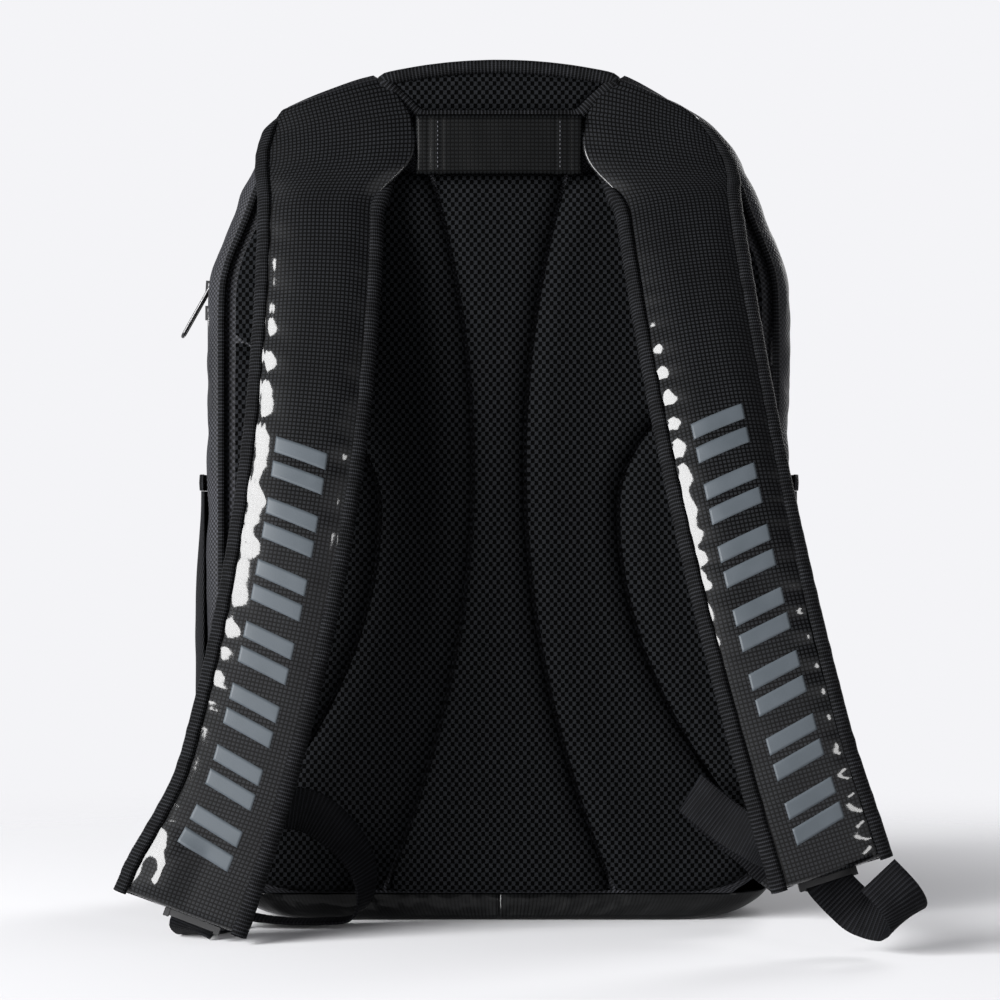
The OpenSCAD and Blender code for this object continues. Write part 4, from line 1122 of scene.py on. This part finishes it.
def neckFront(u, v):
    x, z = neckSpot(u, v, 3.4)
    d = min(min(u, 1 - u) * 100, min(v, 1 - v) * 20)
    return (x, -80.8 - 7.6 * dome(d, 7) - (0.4 * ripple(x, z, 9, 3) if 0 < d else 0), z)


def neckBack(u, v):
    x, z = neckSpot(u, v, 3.4)
    return (x, -80.8 if u in (0, 1) or v in (0, 1) else -80.3, z)


piece = pillowPiece("neckPad", neckFront, neckBack, 70, 22, (110, 24), airMesh, "bag", ["neck_pad"])
# A flat ribbed tape frames the neck pad: it rises from the cloth, crosses the pad's edge and turns down.
corners = [(0.0, 0.0), (1.0, 0.0), (1.0, 1.0), (0.0, 1.0)]
loop = []
for k in range(4):
    (u0, v0), (u1, v1) = corners[k], corners[(k + 1) % 4]
    count = 40 if k % 2 == 0 else 12
    loop += [(lerp(u0, u1, i / count), lerp(v0, v1, i / count)) for i in range(count)]
loop = [Vector((*neckSpot(u, v, 1.2), 0)) for u, v in loop]
for _ in range(3):
    loop = [loop[k - 1].lerp(loop[(k + 1) % len(loop)], 0.5).lerp(loop[k], 0.5) for k in range(len(loop))]
loop = [Vector((p.x, -84.6 - 0.5 * ripple(p.x, p.y, 8, 1.0), p.y)) for p in loop]
loop = stationsOf(loop + [loop[0]], lambda k, p, along: Vector((0, -1, 0)))
loop[-1] = (loop[0][0], loop[0][1], loop[0][2], loop[-1][3])
sweptPiece("neckBinding", [loop], [(1.4, -4.2), (3.4, -3.4), (4.6, -1.2), (4.8, 1.2), (3.6, 3.0), (0.8, 3.8), (-3.2, 4.0),
                                   (-3.2, -4.2)],
           grosgrain, "bag", ["neck_binding"], closedPath=True)
print("handle and neck ready")


# ---- main zip ----
def zipTape(name, node, body, y0, y1, teethY):
    low = bag["fold"] + 1
    length = outlineLength(low)
    tape, coil = [], []
    for k in range(361):
        x, z, nx, nz = outlineAt(k / 360, low)
        side, up = Vector((0, 1, 0)), Vector((nx, 0, nz))
        tape.append((Vector((x - nx * 0.6, lean((y0 + y1) / 2, z), z - nz * 0.6)), side, up, length * k / 360))
        coil.append((Vector((x - nx * 0.4, lean(teethY, z), z - nz * 0.4)), side, up, length * k / 360))
    half = (y1 - y0) / 2
    section = [(half, -0.5), (half, 0.4), (half * 0.5, 0.6), (-half * 0.5, 0.6), (-half, 0.4), (-half, -0.5)]
    sweptPiece(name, [tape], section, tapeCloth, body, [node])
    section = [(0.85 * math.cos(a), 1.35 * math.sin(a)) for a in [math.pi * k / 5 for k in range(10)]]
    sweptPiece(name + "Coil", [coil], section, zipCoil, body)


zipTape("rearZipTape", "rear_zip_tape", "bag", 12.2, 16.9, 17.75)
zipTape("frontZipTape", "front_zip_tape", "front_flap", 20.7, 25.4, 19.65)

# ---- front that folds down ----
frontStations = [(bag["wallStart"], 0), (42, 0), (59.7, 0)] + [
    (59.7 + bag["frontRadius"] * math.sin(a), bag["frontRadius"] * (1 - math.cos(a)))
    for a in [math.radians(11.25 * k) for k in range(1, 9)]]
wallPiece("flapWalls", frontStations, 72.3, 380, 26, 1.6, shellNylon, "front_flap", ["flap_walls"], 1.7, 1.0)


def facePlace(offset, inset, low, wave=0.0):
    def place(u, v):
        z = lerp(low, bag["height"] - inset, math.sin(v * math.pi / 2) if v < 1 else 1.0)
        x = (2 * u - 1) * halfWidthAt(z, inset)
        return (x, bag["front"] - bag["frontSlope"] * z + offset - wave * abs(ripple(x, z, 38, 2.0)), z)
    return place


sheetPiece("flapFace", facePlace(-0.1, 30, 72.4, 1.1), 60, 110, (284, 400), 1.5, shellNylon, "front_flap",
           ["flap_face"])
path = []
for k in range(241):
    x, z, nx, nz = outlineAt(k / 240, 80)
    x, z = x - nx * 30, z - nz * 30
    path.append(Vector((x, bag["front"] - bag["frontSlope"] * z + 0.5, z)))
sweptPiece("flapPiping", [stationsOf(path, lambda k, p, along: Vector((0, 1, 0)))], circleProfile(1.8), grosgrain,
           "front_flap")
flapLining = sheetPiece("flapLining", facePlace(-2.6, 36, 78), 40, 70, (270, 380), 0.6, liningCloth, "front_flap",
                        ["flap_lining"], centre=(0, 400, 250))

sleeve = dict(half=125, low=82, top=395, radius=40, depth=24, edge=13)


def insideBox(x, z, box):
    # Distance in from the sides and the bottom of a round-cornered shape that is open at the top.
    qx, qz = abs(x) - (box["half"] - box["radius"]), box["low"] + box["radius"] - z
    if qx > 0 and qz > 0:
        return box["radius"] - math.hypot(qx, qz)
    return min(box["half"] - abs(x), z - box["low"])


def boxSpot(u, v, box):
    z = lerp(box["low"], box["top"], 1 - math.cos(v * math.pi / 2) if v > 0 else 0.0)
    rise = box["low"] + box["radius"] - z
    half = box["half"] if rise <= 0 else box["half"] - box["radius"] + math.sqrt(max(0.0, box["radius"] ** 2 - rise ** 2))
    return half * math.sin((2 * u - 1) * math.pi / 2), z


def sleeveSpot(x, z, lift=0.0):
    d = insideBox(x, z, sleeve)
    face = bag["front"] + 0.3 - bag["frontSlope"] * z + lift
    loose = 1.1 + 0.9 * ease(262, 300, z)
    wrinkle = loose * ease(3, 22, d) * (ripple(x, z, 40, 8.0) + 0.4 * ripple(x * 1.5, z, 13, 5.0)) - 0.3
    return (x, face + sleeve["depth"] * dome(d, sleeve["edge"]) + wrinkle * ease(395, 380, z), z)


def sleevePlace(u, v):
    return sleeveSpot(*boxSpot(u, v, sleeve))


def boxEdge(box, inset, top, spot):
    # Down one side, along the bottom and up the other, a stitch length apart.
    half, low, r = box["half"] - inset, box["low"] + inset, max(1.0, box["radius"] - inset)
    runs = [top - low - r, r * math.pi / 2, 2 * (half - r), r * math.pi / 2, top - low - r]
    count = round(sum(runs) / 3.4)
    points = []
    for k in range(count + 1):
        reach = sum(runs) * k / count
        if reach < runs[0]:
            x, z = -half, top - reach
        elif reach < sum(runs[:2]):
            a = math.pi + (reach - runs[0]) / r
            x, z = -half + r + r * math.cos(a), low + r + r * math.sin(a)
        elif reach < sum(runs[:3]):
            x, z = -half + r + reach - sum(runs[:2]), low
        elif reach < sum(runs[:4]):
            a = -math.pi / 2 + (reach - sum(runs[:3])) / r
            x, z = half - r + r * math.cos(a), low + r + r * math.sin(a)
        else:
            x, z = half, low + r + reach - sum(runs[:4])
        points.append(Vector(spot(x, z, 0.15)))
    return points


sheetPiece("racketSleeve", sleevePlace, 110, 140, (300, 320), 1.6, laminate, "front_flap", ["racket_sleeve"])
hem = dict(z=399.6, half=124, deep=24, corner=9)
face = bag["front"] + 0.6 - bag["frontSlope"] * hem["z"]
deep, corner, across = hem["deep"], hem["corner"], 2 * sleeve["half"]
path = []
for k in range(121):  # out from the front, across the mouth and back
    reach = (across + 2 * deep) * k / 120
    if reach < deep - corner:
        spot = (hem["half"], face + reach)
    elif reach < deep + corner:
        a = (reach - deep + corner) / (2 * corner) * math.pi / 2
        spot = (hem["half"] - corner + corner * math.cos(a), face + deep - corner + corner * math.sin(a) - 1)
    elif reach < across + deep - corner:
        spot = (hem["half"] - (reach - deep), face + deep - 1)
    elif reach < across + deep + corner:
        a = math.pi / 2 + (reach - across - deep + corner) / (2 * corner) * math.pi / 2
        spot = (corner - hem["half"] + corner * math.cos(a), face + deep - corner + corner * math.sin(a) - 1)
    else:
        spot = (-hem["half"], face + deep - (reach - across - deep))
    path.append(Vector((*spot, hem["z"])))
sweptPiece("sleeveHem", [stationsOf(path, lambda k, p, along: Vector((0, 0, 1)))],
           [(4.4, -0.9), (4.6, 0), (4.4, 0.9), (1.5, 1.2), (-1.5, 1.2), (-4.4, 0.9), (-4.6, 0), (-4.4, -0.9),
            (-1.5, -1.2), (1.5, -1.2)],
           grosgrain, "front_flap", ["sleeve_hem"])

accessory = dict(half=100, low=104, top=242, radius=22, depth=6.5)


def accessoryFace(z):
    return bag["front"] + 24.6 - bag["frontSlope"] * z


def accessorySpot(x, z, lift=0.0):
    d = min(insideBox(x, z, accessory), accessory["top"] - z + 1.5)
    y = accessoryFace(z) + accessory["depth"] * dome(d, 14) + 1.1 * ease(2, 14, d) * ripple(x, z, 24, 3.0)
    return (x, y + lift, z)


def accessoryPlace(u, v):
    return accessorySpot(*boxSpot(u, v, accessory))


sheetPiece("accessoryPocket", accessoryPlace, 80, 70, (220, 140), 1.2, shellNylon, "front_flap",
           ["accessory_pocket"])
outward = Vector((0, 1, 0))
stitchPiece("pocketStitches", [(boxEdge(accessory, d, 236, accessorySpot), outward) for d in (5.5, 8.0)], "front_flap")
stitchPiece("sleeveStitches", [(boxEdge(sleeve, 15, 386, sleeveSpot), outward)], "front_flap")
rows = []
for v in (0.07, 0.92):
    spots = [lowerFront(k / 200, v) for k in range(201)]
    rows.append(([Vector(p) + Vector((0, 0.15, 0)) for p in spots if abs(p[0]) < 141], outward))
stitchPiece("lowerFrontStitches", rows, "bag")


def accessoryZip(zMid, depth):
    path = [Vector((lerp(-100, 100, k / 80), accessoryFace(zMid) + depth, zMid)) for k in range(81)]
    up = Vector((0, -bag["frontSlope"], 1)).normalized()
    return stationsOf(path, lambda k, p, along: up)


sweptPiece("accessoryZipTape", [accessoryZip(249, 0.6)],
           [(6.7, -0.5), (6.7, 0.5), (2, 0.7), (-2, 0.7), (-6.7, 0.5), (-6.7, -0.5)], tapeCloth, "front_flap",
           ["accessory_zip"])
sweptPiece("accessoryZipCoil", [accessoryZip(249.9, 1.4), accessoryZip(248.1, 1.4)],
           [(0.85 * math.cos(a), 1.0 * math.sin(a)) for a in [math.pi * k / 5 for k in range(10)]],
           zipCoil, "front_flap", ())

for name in ("upper_slider", "lower_slider", "pocket_slider"):
    softened(name, 0.35, 3, paintedZinc)
for name in ("upper_puller", "lower_puller", "pocket_puller"):
    softened(name, 0.25, 2, paintedZinc)
print("front and zips ready")

# ---- bottle pockets ----
bottle = dict(y0=-64, y1=8, low=20, top=250, outset=6.7)


def bottlePlace(side):
    def place(u, v):
        y = lerp(bottle["y0"], bottle["y1"], 0.5 - 0.5 * math.cos(u * math.pi))
        z = lerp(bottle["low"], bottle["top"], 1 - math.cos(v * math.pi / 2) if v > 0 else 0.0)
        d = min(y - bottle["y0"], bottle["y1"] - y, z - bottle["low"])
        full = lerp(bottle["outset"], 3.4, ease(185, 245, z)) - 0.7
        out = 0.7 + full * dome(d, 9) + 0.5 * ease(2, 12, d) * ripple(y, z, 16, side)
        corner = bag["cornerRadius"]
        if z < corner:
            a = math.asin((corner - z) / corner)
            x = bag["halfWidth"] - corner + (corner + out) * math.cos(a)
            return (side * x, y, corner - (corner + out) * math.sin(a))
        return (side * (bag["halfWidth"] + out), y, z)
    return place


hems, cuts = [], []
for side, tag in ((-1, "left"), (1, "right")):
    piece = sheetPiece(tag + "BottlePocket", bottlePlace(side), 46, 90, (80, 235), 0.8, stretchMesh, "bag",
               [tag + "_bottle_pocket"])
    cuts.append((piece, (80, 235), None, ["sideGusset"]))
    path = [Vector((side * (172.9 + 2.5 * dome(min(y + 64, 8 - y), 8)), y, 255))
            for y in [lerp(-64, 8, 0.5 - 0.5 * math.cos(math.pi * k / 40)) for k in range(41)]]
    hems.append(stationsOf(path, lambda k, p, along: Vector((0, 0, 1))))
sweptPiece("bottlePocketHems", hems,
           [(4.6, -0.7), (4.8, 0), (4.6, 0.7), (0, 1.0), (-4.6, 0.7), (-4.8, 0), (-4.6, -0.7), (0, -1.0)],
           grosgrain, "bag", ["bottle_pocket_hems"])
print("pockets ready")


# Flat sizes of the sewn cloths, worked out from the bag's own sizes and not from the finished meshes.
def roundTopCut(inset, low, slope=0.0):
    # Size and area of a cut that follows the bag's outline, summed in thin strips.
    top = bag["height"] - inset
    step = (top - low) / 400
    area = sum(2 * halfWidthAt(low + (k + 0.5) * step, inset) * step for k in range(400))
    tilt = math.hypot(1, slope)
    return (2 * (bag["halfWidth"] - inset), (top - low) * tilt), area * tilt


liningTurn = math.pi + 2 * math.asin(1 - 18 / bag["cornerRadius"])
cuts += [(rearLining, *roundTopCut(18, 26), ["frame_sheet"]),
         (flapLining, *roundTopCut(36, 78, bag["frontSlope"]), ["flapFace"]),
         (gussetLining, (outlineLength(18) - 5 * liningTurn, 80), None, ["sideGusset"])]
for piece, (width, length), area, support in cuts:
    print("cut of", piece.name, round(width), "by", round(length), "mm")

low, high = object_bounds()
